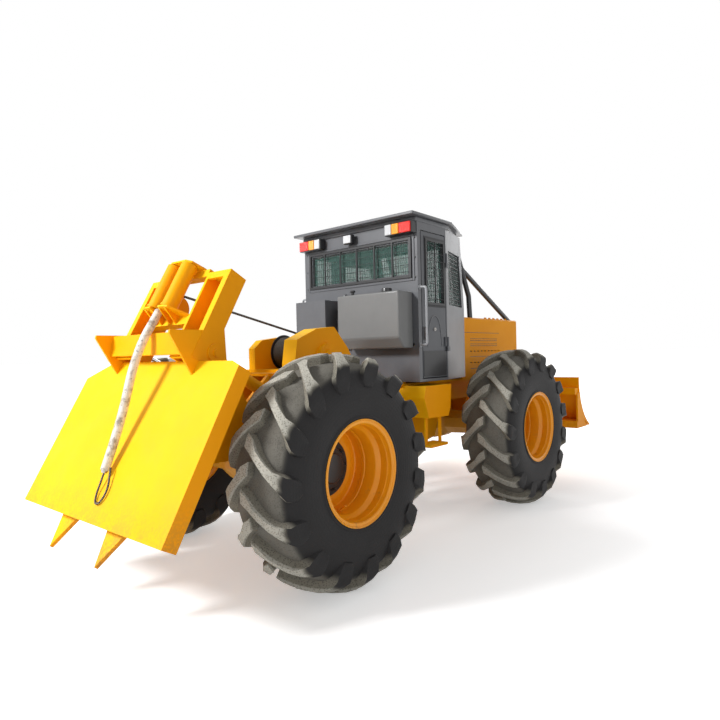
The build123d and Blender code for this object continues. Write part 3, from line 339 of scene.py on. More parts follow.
def steel_rope_finish(name):
    """Oily wire rope: slanting strands, dark in the grooves."""
    pitch = 0.012
    finish = Finish(name, Metallic=0.85)
    x, y, z = finish.axes()
    lay = ((x + z) * (math.tau / pitch) + y * (3.0 / pitch)).sine()
    color = finish.mix(lay.rise(-0.6, 0.7), (0.015, 0.013, 0.012), (0.20, 0.18, 0.16))
    return finish.feed(Base_Color=color, Roughness=0.45 + lay * 0.1, Normal=finish.bump(lay, 0.6, 0.002))


def glass_finish(name, tint, opacity):
    """Tinted pane with smears."""
    finish = Finish(name, IOR=1.45, Specular_IOR_Level=0.6)
    smear = finish.noise(5.0, 5.0, 0.6).rise(0.45, 0.8)
    alpha = (opacity + smear * 0.12).clamp()
    color = finish.mix(smear * 0.3, tint, (0.22, 0.22, 0.20))
    return finish.feed(Base_Color=color, Roughness=0.06 + smear * 0.12, Alpha=alpha)


def moulded(name, color, rough=0.5, dust=0.25, grain=300.0):
    """Moulded plastic or rubber with a fine leather-like grain."""
    finish = Finish(name, Specular_IOR_Level=0.4)
    tone = finish.noise(4.0, 4.0)
    base = finish.mix(tone * 0.35, color, tuple(min(1.0, c * 1.5 + 0.02) for c in color))
    base, gloss = dusted(finish, base, rough + tone * 0.1, dust)
    return finish.feed(
        Base_Color=base, Roughness=gloss, Normal=finish.bump(finish.cells(grain), 0.12, 0.0015),
    )


def bare_metal(name, color, rough=0.32, wear=0.4):
    """Turned or brushed steel with fine lines and a film of dirt."""
    finish = Finish(name, Metallic=1.0)
    lines = finish.noise(60.0, 3.0, 0.6, vector=finish.stretched(1.0, 40.0, 40.0))
    film = finish.noise(8.0, 5.0, 0.65).rise(0.5, 0.8) * wear
    base = finish.mix(film, color, (0.10, 0.075, 0.05))
    return finish.feed(
        Base_Color=base, Roughness=(rough + lines * 0.15 + film * 0.3).clamp(),
        Metallic=(1.0 - film * 0.7).clamp(),
        Normal=finish.bump(lines, 0.08, 0.001),
    )


def lamp_finish(name, color):
    """Ribbed lens."""
    finish = Finish(
        name, Coat_Weight=0.15, Coat_Roughness=0.1, Specular_IOR_Level=0.3, Emission_Strength=0.06,
    )
    ribs = (finish.axes()[1] * 900.0).sine()
    base = finish.mix(ribs.rise(-1.0, 1.0) * 0.45, color, tuple(c * 0.5 for c in color))
    return finish.feed(
        Base_Color=base, Emission_Color=base, Roughness=0.22, Normal=finish.bump(ribs, 0.3, 0.002),
    )


def woven_cover_finish(name):
    """White woven rope cover, greyed, scuffed and dusty."""
    finish = Finish(name, Sheen_Weight=0.2)
    weave = finish.cells(210.0, vector=finish.stretched(1.0, 1.0, 0.6))
    dirt = finish.noise(16.0, 6.0, 0.7).rise(0.44, 0.66)
    base = finish.mix(dirt * 0.85, (0.78, 0.75, 0.68), (0.25, 0.20, 0.14))
    base = finish.mix(finish.noise(45.0, 4.0, 0.7).rise(0.58, 0.68) * 0.6, base, (0.10, 0.08, 0.06))
    return finish.feed(Base_Color=base, Roughness=0.8, Normal=finish.bump(weave, 0.5, 0.004))


FINISHES = {
    "yellow_paint": painted(
        "golden_paint", (0.92, 0.40, 0.001), (0.88, 0.33, 0.001), 0.42, coat=0.02, gleam=0.12,
    ),
    "lift_paint_shaded_sides": painted(
        "yellow_paint", (0.94, 0.51, 0.001), (0.93, 0.45, 0.001), 0.42, coat=0.02, gleam=0.12,
        # painted shade: the lift's sideways-looking faces turn deeper orange
        side=(0.88, 0.30, 0.001),
    ),
    "hood_paint": painted(
        "orange_paint", (0.98, 0.38, 0.001), (0.93, 0.33, 0.001), 0.42, coat=0.02, gleam=0.12,
    ),
    # painted shade: the doors are a darker copy of the cab grey, for the shade on the cab's sides
    "shaded_door_paint": painted(
        "door_grey_painted_shade", (0.080, 0.084, 0.094), (0.058, 0.062, 0.070), 0.32, 0.2, 0.05,
        (0.02, 0.02, 0.02), 0.3,
    ),
    "tank_paint": painted(
        "tank_grey_paint", (0.170, 0.172, 0.170), (0.140, 0.142, 0.142), 0.42, 0.2, 0.04,
        (0.05, 0.05, 0.05),
    ),
    "dark_paint": painted(
        "cab_grey_paint", (0.112, 0.116, 0.126), (0.082, 0.085, 0.094), 0.30, 0.22, 0.05,
        (0.02, 0.02, 0.02), 0.4,
    ),
    "black_paint": painted(
        "black_paint", (0.016, 0.016, 0.018), (0.010, 0.010, 0.011), 0.34, 0.18, 0.05, (0.09, 0.05, 0.03),
        0.4,
    ),
    "grey_panel": painted(
        "grey_paint", (0.34, 0.35, 0.37), (0.26, 0.27, 0.28), 0.35, 0.2, 0.04, (0.1, 0.1, 0.1),
    ),
    "bare_steel": bare_metal("bare_steel", (0.40, 0.38, 0.36)),
    "chrome_rod": bare_metal("chromed_rod", (0.80, 0.81, 0.83), 0.10, wear=0.15),
    "wire_rope": steel_rope_finish("wire_rope"),
    "seat_cloth": moulded("seat_cloth", (0.02, 0.02, 0.022), 0.85, 0.1, 700.0),
    "trim_plastic": moulded("trim_plastic", (0.025, 0.025, 0.027)),
    "lamp_plastic": lamp_finish("red_lens", (0.80, 0.018, 0.010)),
    "engine_iron": painted(
        "engine_iron", (0.05, 0.05, 0.05), (0.03, 0.03, 0.03), 0.6, 0.5, 0.1, (0.1, 0.06, 0.04), 0.0,
    ),
    "gear_case": painted("gear_case_paint", (0.74, 0.35, 0.012), (0.55, 0.24, 0.01), 0.42, 0.5, 0.2),
    "window_glass": glass_finish("window_glass", (0.10, 0.24, 0.20), 0.34),
    "rope_cover": woven_cover_finish("rope_cover"),
}
AMBER_LENS = lamp_finish("amber_lens", (0.95, 0.36, 0.01))
CLEAR_LENS = lamp_finish("clear_lens", (0.62, 0.63, 0.64))
for wheel, (wheel_x, hand) in WHEELS.items():
    FINISHES["tyre_" + wheel] = tyre_finish("tyre_" + wheel, wheel_x, hand, False)
    FINISHES["bar_" + wheel] = tyre_finish("tyre_bars_" + wheel, wheel_x, hand, True)
    FINISHES["rim_" + wheel] = rim_finish("rim_paint_" + wheel, wheel_x, hand)

SLOT_OF = {entry["node"]: entry["material_slot"] for entry in frame["record"]["subparts"]}
PAINT_OF = {  # nodes whose paint differs from their slot's
    **dict.fromkeys(
        ("butt_plate", "arch_frame", "roller_bracket", "winch_housing", "step_boxes"), "lift_paint_shaded_sides"
    ),
    **dict.fromkeys(("hood", "blade"), "hood_paint"),
    **dict.fromkeys(("door_left", "door_right"), "shaded_door_paint"),
}
for node, part in frame["nodes"].items():
    finish = FINISHES[node if node.startswith(("tyre_", "rim_")) else PAINT_OF.get(node, SLOT_OF[node])]
    part.data.materials.clear()
    part.data.materials.append(finish)


# ---------------------------------------------------------------- making pieces
def piece(name, body, mesh, finish, slot=None, smooth=40.0, bevel=0.0, segments=2):
    """Turns a bmesh into a piece that rides on a body; a finish may be given by its name; `slot` is not used.
    """
    if isinstance(finish, str):
        finish, slot = FINISHES[finish], slot or finish
    bmesh.ops.recalc_face_normals(mesh, faces=mesh.faces)
    data = bpy.data.meshes.new(name)
    mesh.to_mesh(data)
    mesh.free()
    made = bpy.data.objects.new(name, data)
    scene.collection.objects.link(made)
    for material in finish if isinstance(finish, list) else [finish]:
        data.materials.append(material)
    data.shade_smooth()
    data.set_sharp_from_angle(angle=math.radians(smooth))
    if bevel:
        modifier = made.modifiers.new("edges", "BEVEL")
        modifier.width = bevel
        modifier.segments = segments
        modifier.limit_method = "ANGLE"
        modifier.angle_limit = math.radians(35)
    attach(made, body)
    return made


def block(mesh, low, high):
    """A box between two corners."""
    low, high = Vector(low), Vector(high)
    place = Matrix.Translation((low + high) / 2) @ Matrix.Diagonal((*(high - low), 1.0))
    bmesh.ops.create_cube(mesh, size=1.0, matrix=place)


def disc(mesh, centre, way, radius, length, sides=24, tip=None):
    """A solid cylinder or cone from a point along a direction."""
    way = Vector(way).normalized()
    turn = way.to_track_quat("Z", "Y").to_matrix().to_4x4()
    middle = Vector(centre) + way * (length / 2)
    bmesh.ops.create_cone(
        mesh, cap_ends=True, segments=sides, radius1=radius, radius2=radius if tip is None else tip,
        depth=length, matrix=Matrix.Translation(middle) @ turn,
    )


def slab(mesh, stations, across, heights):
    """A box from its ranges on the machine; each pair may be in either order."""
    block(mesh, *(at(*corner) for corner in zip(*(sorted(pair) for pair in (stations, across, heights)))))


def prism(mesh, corners, way):
    """The face between the corners, drawn out along a way."""
    face = mesh.faces.new([mesh.verts.new(corner) for corner in corners])
    grown = bmesh.ops.extrude_face_region(mesh, geom=[face], use_keep_orig=True)
    moved = [v for v in grown["geom"] if isinstance(v, bmesh.types.BMVert)]
    bmesh.ops.translate(mesh, vec=way, verts=moved)


def spun(mesh, section, steps):
    """A section of (place along Y, radius) turned about the Y axis."""
    ring = [mesh.verts.new((0, y, r)) for y, r in section]
    edges = [mesh.edges.new(pair) for pair in zip(ring, ring[1:])]
    bmesh.ops.spin(
        mesh, geom=ring + edges, cent=(0, 0, 0), axis=(0, 1, 0), dvec=(0, 0, 0), angle=math.tau, steps=steps,
        use_merge=True, use_normal_flip=False, use_duplicate=False,
    )


def tube_piece(name, body, points, radius, finish, rounds=3):
    """A tube along a smooth line through points, with a finish given by its name."""
    curve = bpy.data.curves.new(name, "CURVE")
    curve.dimensions = "3D"
    curve.bevel_depth = radius
    curve.bevel_resolution = rounds
    curve.use_fill_caps = True
    line = curve.splines.new("NURBS")
    line.points.add(len(points) - 1)
    for point, place in zip(line.points, points):
        point.co = (*place, 1.0)
    line.order_u = 3
    line.use_endpoint_u = True
    line.resolution_u = 8
    made = bpy.data.objects.new(name, curve)
    scene.collection.objects.link(made)
    curve.materials.append(FINISHES[finish])
    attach(made, body)
    return made


# ---------------------------------------------------------------- camera and light
def view_axes(yaw, pitch, roll):
    """Right, up and ahead of a camera that is turned, raised and rolled by these degrees."""
    yaw, pitch, roll = (math.radians(a) for a in (yaw, pitch, roll))
    right = Vector((math.sin(yaw), -math.cos(yaw), 0))
    ahead = Vector((math.cos(yaw) * math.cos(pitch), math.sin(yaw) * math.cos(pitch), math.sin(pitch)))
    up = right.cross(ahead)
    return (
        math.cos(roll) * right + math.sin(roll) * up,
        math.cos(roll) * up - math.sin(roll) * right,
        ahead,
    )


# the view of the photograph, fitted to the outlines of the wheels
eye_right, eye_up, eye_ahead = view_axes(40.515, -0.495, -1.304)
camera = bpy.data.objects.new("camera", bpy.data.cameras.new("camera"))
scene.collection.objects.link(camera)
camera.data.sensor_width = 36.0
camera.data.lens = 28.904
camera.data.clip_start = 0.05
camera.matrix_world = Matrix.Translation(at(-2.885, -3.694, 1.576)) @ Matrix(
    (eye_right, eye_up, -eye_ahead)
).transposed().to_4x4()
scene.camera = camera

for name, place, aim, size, power in (  # metres and watts
    ("key", (-9.0, 3.5, 6.5), (-1.0, 0.0, 1.0), 2.0, 1150.0),
    ("fill", (-4.0, -8.0, 4.0), (0.0, 0.0, 1.0), 6.0, 90.0),
    ("front", (8.0, 2.0, 6.0), (1.0, 0.0, 1.0), 5.0, 300.0),
):
    lamp = bpy.data.objects.new(name, bpy.data.lights.new(name, "AREA"))
    lamp.data.energy = power
    lamp.data.size = size
    lamp.location = place
    lamp.rotation_euler = (Vector(aim) - Vector(place)).to_track_quat("-Z", "Y").to_euler()
    scene.collection.objects.link(lamp)

FILL_LIGHT = 0.42  # the world's strength on the object; seen directly it is 1, white
world = bpy.data.worlds.new("studio")
scene.world = world
world.use_nodes = True
sky = Shader(world.node_tree)
background = world.node_tree.nodes["Background"]
background.inputs["Color"].default_value = (1, 1, 1, 1)
strength = sky.background_ray() * (1.0 - FILL_LIGHT) + FILL_LIGHT
sky.tree.links.new(strength.socket, background.inputs["Strength"])
scene.view_settings.view_transform = "Standard"

floor_mesh = bmesh.new()
bmesh.ops.create_grid(floor_mesh, x_segments=1, y_segments=1, size=400.0)
floor_data = bpy.data.meshes.new("floor")
floor_mesh.to_mesh(floor_data)
floor_mesh.free()
floor = bpy.data.objects.new("floor", floor_data)
floor.location.z = -0.002
scene.collection.objects.link(floor)
floor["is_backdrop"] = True
# the floor runs into the white background: where it is looked at it brightens with distance, and under the
# machine it keeps the shadow
floor_finish = Finish("floor", Emission_Strength=1.0)
floor_x, floor_y, _ = floor_finish.axes()
away = (floor_x ** 2.0 + floor_y ** 2.0).root().rise(3.5, 11.0)
white = (floor_finish.background_ray() * (away * 0.6 + 0.4)).clamp()
floor_finish.feed(
    Base_Color=floor_finish.mix(floor_finish.noise(0.6) * 0.3, (0.93, 0.93, 0.93), (0.88, 0.88, 0.88)),
    Emission_Color=floor_finish.mix(white, (0.0, 0.0, 0.0), (1.0, 1.0, 1.0)),
    Roughness=0.9,
)
floor_data.materials.append(floor_finish.material)


# ---------------------------------------------------------------- tyres
CARCASS = (  # half section: place across from the middle, radius
    (0.230, 0.336),
    (0.240, 0.350),
    (0.249, 0.370),
    (0.243, 0.383),
    (0.250, 0.420),
    (0.256, 0.480),
    (0.257, 0.530),
    (0.252, 0.580),
    (0.240, 0.625),
    (0.224, 0.662),
    (0.198, 0.694),
    (0.155, 0.716),
    (0.100, 0.729),
    (0.0, 0.736),
)
LUGS = 15
LUG_PITCH = math.tau / LUGS
TIP_PHASE = -0.066  # turns the bars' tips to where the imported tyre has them
WALL_LIMIT = 0.261  # a bar's end lies flush with the wall here
BAR_ROOT = -0.012  # how deep a bar starts in the carcass
BAR_FLARE = 1.28  # a bar's width at its root, as a share of its top
TIP_FLARE = 0.010  # what a bar's inner end is wider by on each side
ARC_RADIUS = 0.70  # arcs are laid off at their own radius, but never below this one
BAR = (  # stations along a bar: distance over the section, arc of its middle, half width, height
    (-0.022, 0.020, 0.028, 0.062),
    (0.020, -0.016, 0.031, 0.064),
    (0.080, -0.076, 0.032, 0.065),
    (0.140, -0.136, 0.034, 0.064),
    (0.182, -0.178, 0.039, 0.063),
    (0.214, -0.206, 0.056, 0.058),
    (0.246, -0.226, 0.068, 0.050),
    (0.280, -0.238, 0.072, 0.040),
    (0.318, -0.244, 0.066, 0.026),
    (0.346, -0.246, 0.044, 0.012),
)


def along_section(distance):
    """Place (across, radius) and outward way of the carcass at a distance from the middle of the tread."""
    points = [Vector(p) for p in reversed(CARCASS)]
    for start, end in zip(points, points[1:]):
        step = (end - start).length
        if distance <= step:
            break
        distance -= step
    way = (end - start) / step
    return start + way * distance, Vector((-way.y, way.x))


def bar_data():
    """One tread bar of the tyre's left half, as mesh data."""
    bar = bmesh.new()
    bmesh.ops.create_grid(bar, x_segments=len(BAR) - 1, y_segments=4, size=1.0)
    bar.verts.ensure_lookup_table()
    top = bmesh.ops.extrude_face_region(bar, geom=bar.faces[:], use_keep_orig=True)
    for face in bar.faces:
        face.material_index = 1
    raised = {v for v in top["geom"] if isinstance(v, bmesh.types.BMVert)}
    for vertex in bar.verts:
        station = round((vertex.co.x + 1) / 2 * (len(BAR) - 1))
        distance, arc, half, height = BAR[station]
        side = vertex.co.y
        flank = 1.0 if vertex in raised else BAR_FLARE
        if vertex not in raised:
            height = BAR_ROOT
        sign = -1.0 if distance < 0 else 1.0
        (across, radius), way = along_section(abs(distance))
        across, radius = sign * min(across + way.x * height, WALL_LIMIT), radius + way.y * height
        flare = TIP_FLARE if station in (0, 1) else 0.0
        angle = (arc + side * half * flank + flare * side) / max(radius, ARC_RADIUS)
        vertex.co = Vector((-math.cos(angle) * radius, -across, math.sin(angle) * radius))
    rims = [
        edge for edge in bar.edges
        if all(v in raised for v in edge.verts)
        and any(not all(v in raised for v in face.verts) for face in edge.link_faces)
    ]
    bmesh.ops.bevel(
        bar, geom=rims, offset=0.004, offset_type="OFFSET", segments=2, profile=0.6, affect="EDGES",
        material=-1,
    )
    data = bpy.data.meshes.new("bar")
    bmesh.ops.recalc_face_normals(bar, faces=bar.faces)
    bar.to_mesh(data)
    bar.free()
    return data


def tyre_mesh():
    """A tyre about the origin, its axle along Y: ringed carcass and two rows of bars."""
    mesh = bmesh.new()
    spun(mesh, [(-y, r) for y, r in CARCASS[:-1]] + [(y, r) for y, r in reversed(CARCASS)], 90)
    bar = bar_data()
    for side in (-1, 1):
        for step in range(LUGS):
            start = len(mesh.verts)
            mesh.from_mesh(bar)
            mesh.verts.ensure_lookup_table()
            added = mesh.verts[start:]
            if side > 0:
                bmesh.ops.scale(mesh, vec=(1, -1, 1), verts=added)
            turn = TIP_PHASE + LUG_PITCH * (step + (0.5 if side > 0 else 0.0))
            bmesh.ops.rotate(mesh, cent=(0, 0, 0), matrix=Matrix.Rotation(turn, 3, "Y"), verts=added)
    bpy.data.meshes.remove(bar)
    return mesh


for wheel, (wheel_x, hand) in WHEELS.items():
    mesh = tyre_mesh()
    bmesh.ops.translate(mesh, vec=(wheel_x, hand * WHEEL_Y, AXLE_Z), verts=mesh.verts)
    rubber = [FINISHES["tyre_" + wheel], FINISHES["bar_" + wheel]]
    tyre = piece("treaded_tyre_" + wheel, "wheel_" + wheel, mesh, rubber, "tyre_rubber", smooth=30)
    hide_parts("tyre_" + wheel)


# ---------------------------------------------------------------- small parts
def hex_heads(mesh, places, way, across, height):
    """Hexagon bolt heads, each on its washer."""
    for place in places:
        disc(mesh, place, way, across * 0.72, 0.003, 16)
        disc(mesh, place, way, across * 0.56, height, 6)


def wire_row(mesh, low, high, count, axis, run, radius):
    """Parallel wires between two corners: `count` of them spread along `axis`, each running along `run`."""
    way = Vector((0, 0, 0))
    way[run] = 1.0
    for step in range(count):
        start = low.copy()
        start[axis] = low[axis] + (high[axis] - low[axis]) * ((step + 0.5) / count)
        disc(mesh, start, way, radius, high[run] - low[run], 6)


# ---------------------------------------------------------------- rims
# section: place outward from the middle and radius, from the hub's nose over the lip and back to the bore
RIM = (
    (-0.020, 0.0), (-0.020, 0.070), (-0.022, 0.098), (-0.028, 0.105), (-0.050, 0.105), (-0.050, 0.139),
    (-0.056, 0.145), (-0.080, 0.145), (-0.080, 0.205), (-0.074, 0.222), (-0.074, 0.252), (-0.080, 0.268),
    (-0.080, 0.284), (-0.074, 0.2895), (-0.018, 0.2895), (-0.012, 0.285), (0.012, 0.285), (0.018, 0.2895),
    (0.108, 0.2895), (0.116, 0.293), (0.134, 0.312), (0.142, 0.3165), (0.196, 0.3165), (0.203, 0.3205),
    (0.232, 0.322), (0.2385, 0.327), (0.2395, 0.343), (0.246, 0.3465), (0.250, 0.352), (0.247, 0.3565),
    (0.241, 0.355), (0.236, 0.331), (-0.236, 0.331), (-0.241, 0.355), (-0.247, 0.3565), (-0.250, 0.352),
    (-0.246, 0.3465), (-0.2395, 0.343), (-0.236, 0.3165), (-0.098, 0.3165), (-0.098, 0.145),
    (-0.245, 0.145), (-0.245, 0.0605), (-0.175, 0.0605), (-0.175, 0.0),
)
NUTS = 10
NUT_RADIUS = 0.163  # of the circle that the nuts stand on
NUT_DISCS = (  # a wheel nut from its washer outward: place, radius, length, sides
    (0.0, 0.0165, 0.004, 18),
    (0.004, 0.0135, 0.016, 6),
    (0.018, 0.0075, 0.012, 12),
)
VALVE_DISCS = (  # a valve from its foot: place outward and up, radius, length, sides
    ((0.0, 0.0), 0.011, 0.020, 12),
    ((0.0, 0.0), 0.005, 0.060, 10),
    ((0.046, 0.034), 0.007, 0.018, 10),
)
for wheel, (wheel_x, hand) in WHEELS.items():
    body = "wheel_" + wheel
    paint, slot = FINISHES["rim_" + wheel], SLOT_OF["rim_" + wheel]
    hub = Vector((wheel_x, hand * WHEEL_Y, AXLE_Z))
    turned = bmesh.new()
    spun(turned, [(hand * y, r) for y, r in RIM], 96)
    bmesh.ops.remove_doubles(turned, verts=turned.verts, dist=0.00001)
    bmesh.ops.translate(turned, vec=hub, verts=turned.verts)
    rim = piece("turned_rim_" + wheel, body, turned, paint, slot, smooth=28)
    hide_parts("rim_" + wheel)
    nuts = bmesh.new()
    for step in range(NUTS):
        angle = math.tau * step / NUTS
        place = hub + Vector((math.cos(angle) * NUT_RADIUS, -hand * 0.080, math.sin(angle) * NUT_RADIUS))
        for out, radius, length, sides in NUT_DISCS:
            disc(nuts, place + Vector((0, hand * out, 0)), (0, hand, 0), radius, length, sides)
    # the nuts are black and stand in the near-black hub, which is partly painted shade
    piece("wheel_nuts_" + wheel, body, nuts, "black_paint", bevel=0.0015)
    valve = bmesh.new()
    place = hub + Vector((0.0, hand * 0.02, -0.286))
    for (out, up), radius, length, sides in VALVE_DISCS:
        disc(valve, place + Vector((0, hand * out, up)), (0, hand * 0.8, 0.6), radius, length, sides)
    piece("valve_" + wheel, body, valve, paint, slot)


# ---------------------------------------------------------------- rear window and door windows: guards
CAB_SIDE = 0.720
GUARD_BORDER = 0.022
GUARD_BAR = 0.012


def framed_guard(name, body, low, high, wires, rows, heavy, axis=1):
    """A flat guard along `axis`: border, flat bars at the `heavy` shares of its width, and crossed wires."""
    mesh = bmesh.new()
    low, high = Vector(low), Vector(high)
    inner = Vector((0, 0, 0))
    inner[axis] = GUARD_BORDER
    sill = Vector((0, 0, GUARD_BORDER))
    block(mesh, low, (high.x, high.y, low.z + GUARD_BORDER))
    block(mesh, (low.x, low.y, high.z - GUARD_BORDER), high)
    first, second = high.copy(), low.copy()
    first[axis] = low[axis] + GUARD_BORDER
    second[axis] = high[axis] - GUARD_BORDER
    block(mesh, low + sill, first - sill)
    block(mesh, second + sill, high - sill)
    for share in heavy:
        start, end = low.copy(), high.copy()
        start[axis] = low[axis] + (high[axis] - low[axis]) * share - GUARD_BAR / 2
        end[axis] = start[axis] + GUARD_BAR
        block(mesh, start + sill, end - sill)
    start, end = low + inner + sill, high - inner - sill
    depth = 0 if axis == 1 else 1
    start[depth] = end[depth] = (low[depth] + high[depth]) / 2
    wire_row(mesh, start, end, wires, axis, 2, 0.0022)
    wire_row(mesh, start, end, rows, 2, axis, 0.0028)
    return piece(name, body, mesh, "black_paint")


guard = framed_guard(
    "rear_window_guard", "front_frame", at(1.404, -0.660, 2.268), at(1.418, 0.640, 2.634), 46, 5,
    (0.165, 0.33, 0.5, 0.665, 0.83),
)
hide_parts("window_guards")
for hand, side in SIDES:
    right, left = sorted((hand * (CAB_SIDE + 0.0002), hand * (CAB_SIDE + 0.010)))
    low, high = at(1.540, right, 2.025), at(1.860, left, 2.635)
    framed_guard("door_guard_" + side, "door_" + side, low, high, 9, 8, (0.5,), axis=0)


# ---------------------------------------------------------------- windscreen and front side windows
PANE = 0.006
PANE_INSET = 0.020  # from the wall's outside


def guarded_window(name, corners, columns, rows):
    """A pane between four corners of the wall's outside, and a guard of crossed wires before it."""
    corners = [Vector(p) for p in corners]
    away = (corners[1] - corners[0]).cross(corners[3] - corners[0]).normalized()
    if away.dot(at(1.9, 0.0, 2.3) - corners[0]) < 0:
        away = -away
    sheet = bmesh.new()
    prism(sheet, [corner + away * PANE_INSET for corner in corners], away * PANE)
    piece(name + "_glass", "front_frame", sheet, "window_glass")
    wires = bmesh.new()
    back = [corner + away * (PANE_INSET - PANE) for corner in corners]
    for low, low_end, high, high_end, count in (
        (back[0], back[1], back[3], back[2], columns), (back[0], back[3], back[1], back[2], rows),
    ):
        for step in range(count):
            share = (step + 0.5) / count
            start, end = low.lerp(low_end, share), high.lerp(high_end, share)
            disc(wires, start, end - start, 0.0024, (end - start).length, 6)
    piece(name + "_guard", "front_frame", wires, "black_paint")


CAB_FRONT, TAPER_START, LEAN_START = 2.512, 1.950, 2.030
CAB_TAPER = (CAB_SIDE - 0.550) / (CAB_FRONT - TAPER_START)  # the side walls draw in towards the front
CAB_LEAN = (CAB_FRONT - 2.400) / (2.770 - LEAN_START)  # the windscreen leans back towards the roof
SIDE_PANE = ((1.975, 2.045), (2.430, 2.045), (2.345, 2.570), (1.975, 2.570))  # station, height
SCREEN_PANE = ((-0.470, 2.090), (0.470, 2.090), (0.470, 2.680), (-0.470, 2.680))  # across, height
for hand, side in SIDES:
    corners = [at(x, hand * (CAB_SIDE - (x - TAPER_START) * CAB_TAPER), z) for x, z in SIDE_PANE]
    guarded_window("side_window_" + side, corners, 12, 13)
screen_corners = [at(CAB_FRONT - (z - LEAN_START) * CAB_LEAN, y, z) for y, z in SCREEN_PANE]
guarded_window("windscreen", screen_corners, 30, 12)


# ---------------------------------------------------------------- tail lamps and work lamp
LENSES = (  # from the lamp's outer end: name, start, end, finish
    ("stop", 0.0, 0.130, "lamp_plastic"),
    ("turn", 0.132, 0.212, AMBER_LENS),
    ("reverse", 0.214, 0.290, CLEAR_LENS),
)
LAMP_END, LAMP_LENGTH = 0.710, 0.290
for hand, side in SIDES[::-1]:
    outer, inner = hand * (LAMP_END + 0.006), hand * (LAMP_END - LAMP_LENGTH - 0.006)
    house = bmesh.new()
    slab(house, (1.345, 1.420), (outer, inner), (2.662, 2.768))
    piece("lamp_house_" + side, "front_frame", house, "black_paint", bevel=0.006)
    for name, start, end, lens in LENSES:
        cover = bmesh.new()
        span = hand * (LAMP_END - start - 0.002), hand * (LAMP_END - end + 0.002)
        slab(cover, (1.330, 1.346), span, (2.668, 2.762))
        piece(f"{name}_lens_{side}", "front_frame", cover, lens, "lamp_plastic", bevel=0.005, segments=3)
lamp = bmesh.new()
slab(lamp, (1.352, 1.398), (0.0, 0.110), (2.662, 2.752))
piece("work_lamp", "front_frame", lamp, "black_paint", bevel=0.006)
cover = bmesh.new()
slab(cover, (1.341, 1.353), (0.008, 0.102), (2.670, 2.744))
work_lens = piece("work_lamp_lens", "front_frame", cover, CLEAR_LENS, "lamp_plastic", bevel=0.003)
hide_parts("rear_lamps")


# ---------------------------------------------------------------- winch drum: wound rope and flanges
DRUM = (0.580, 1.610)  # station, height
TURNS, ROPE_PITCH = 30, 0.0112
VALLEY, CREST = 0.1325, 0.1375
wound = bmesh.new()
for turn in range(TURNS):
    across = -0.190 + turn * ROPE_PITCH
    for start, first, last in ((across, CREST, VALLEY), (across + ROPE_PITCH / 2, VALLEY, CREST)):
        disc(wound, at(DRUM[0], start, DRUM[1]), (0, 1, 0), first, ROPE_PITCH / 2, 48, last)
piece("wound_rope", "rear_frame", wound, "wire_rope", smooth=60)
for side, low, high in (("right", -0.198, -0.192), ("left", 0.142, 0.148)):
    flange = bmesh.new()
    disc(flange, at(DRUM[0], low, DRUM[1]), (0, 1, 0), 0.158, high - low, 64)
    piece("drum_flange_" + side, "rear_frame", flange, "black_paint", bevel=0.002)


# ---------------------------------------------------------------- cab and door trim
trim = bmesh.new()
for across, heights in (  # raised border round the rear window
    ((-0.668, 0.648), (2.240, 2.262)), ((-0.668, 0.648), (2.640, 2.658)),
    ((-0.690, -0.668), (2.240, 2.658)), ((0.648, 0.670), (2.240, 2.658)),
):
    slab(trim, (1.412, 1.420), across, heights)
piece("rear_window_border", "front_frame", trim, "dark_paint", bevel=0.003)

bolts = bmesh.new()
bolt_places = [(y, z) for y in (-0.69, 0.67) for z in (2.27, 2.45, 2.63)]
bolt_places += [(y, 1.66) for y in (-0.66, -0.2, 0.2, 0.66)]
hex_heads(bolts, [at(1.4195, y, z) for y, z in bolt_places], (-1, 0, 0), 0.018, 0.007)
piece("cab_bolts", "front_frame", bolts, "black_paint")

DOOR_ARCH = (  # the pressed arch round the lock: station, height
    (1.560, 1.640), (1.575, 1.800), (1.620, 1.905), (1.680, 1.935), (1.740, 1.905), (1.785, 1.800),
    (1.800, 1.640),
)
DOOR_SEAL = (  # the strips round the window: stations, heights
    ((1.528, 1.872), (2.008, 2.024)), ((1.528, 1.872), (2.636, 2.652)),
    ((1.528, 1.539), (2.024, 2.636)), ((1.861, 1.872), (2.024, 2.636)),
)
for hand, side in SIDES:
    body, face = "door_" + side, hand * CAB_SIDE
    kick_panel = bmesh.new()
    slab(kick_panel, (1.490, 1.866), (face, face + hand * 0.004), (1.366, 1.600))
    piece("door_kick_panel_" + side, body, kick_panel, "black_paint", bevel=0.0015)
    arch = [at(x, face, z) for x, z in DOOR_ARCH]
    tube_piece("door_arch_" + side, body, arch, 0.006, "dark_paint", 2)
    lock = bmesh.new()
    disc(lock, at(1.680, face, 1.800), (0, hand, 0), 0.017, 0.008, 20)
    disc(lock, at(1.680, face + hand * 0.008, 1.800), (0, hand, 0), 0.009, 0.006, 16)
    slab(lock, (1.505, 1.535), (face, face + hand * 0.020), (1.700, 1.820))
    piece("door_lock_" + side, body, lock, "bare_steel", bevel=0.002)
    seal = bmesh.new()
    for stations, heights in DOOR_SEAL:
        slab(seal, stations, (face, face + hand * 0.0035), heights)
    piece("door_seal_" + side, body, seal, "trim_plastic")


# ---------------------------------------------------------------- roof: a thin sheet over a low curb
ROOF_EDGE = ((1.300, 0.760), (1.950, 0.760), (2.530, 0.545))
CURB_EDGE = ((1.402, 0.722), (1.950, 0.722), (2.420, 0.530))
roof = bmesh.new()
for edge, low, high in ((ROOF_EDGE, 2.812, 2.840), (CURB_EDGE, 2.7705, 2.812)):
    outline = [*edge, *((x, -y) for x, y in reversed(edge))]
    prism(roof, [at(x, y, low) for x, y in outline], (0, 0, high - low))
roof = piece("roof_sheet", "front_frame", roof, "dark_paint", bevel=0.006, smooth=30)
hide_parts("cab_roof")


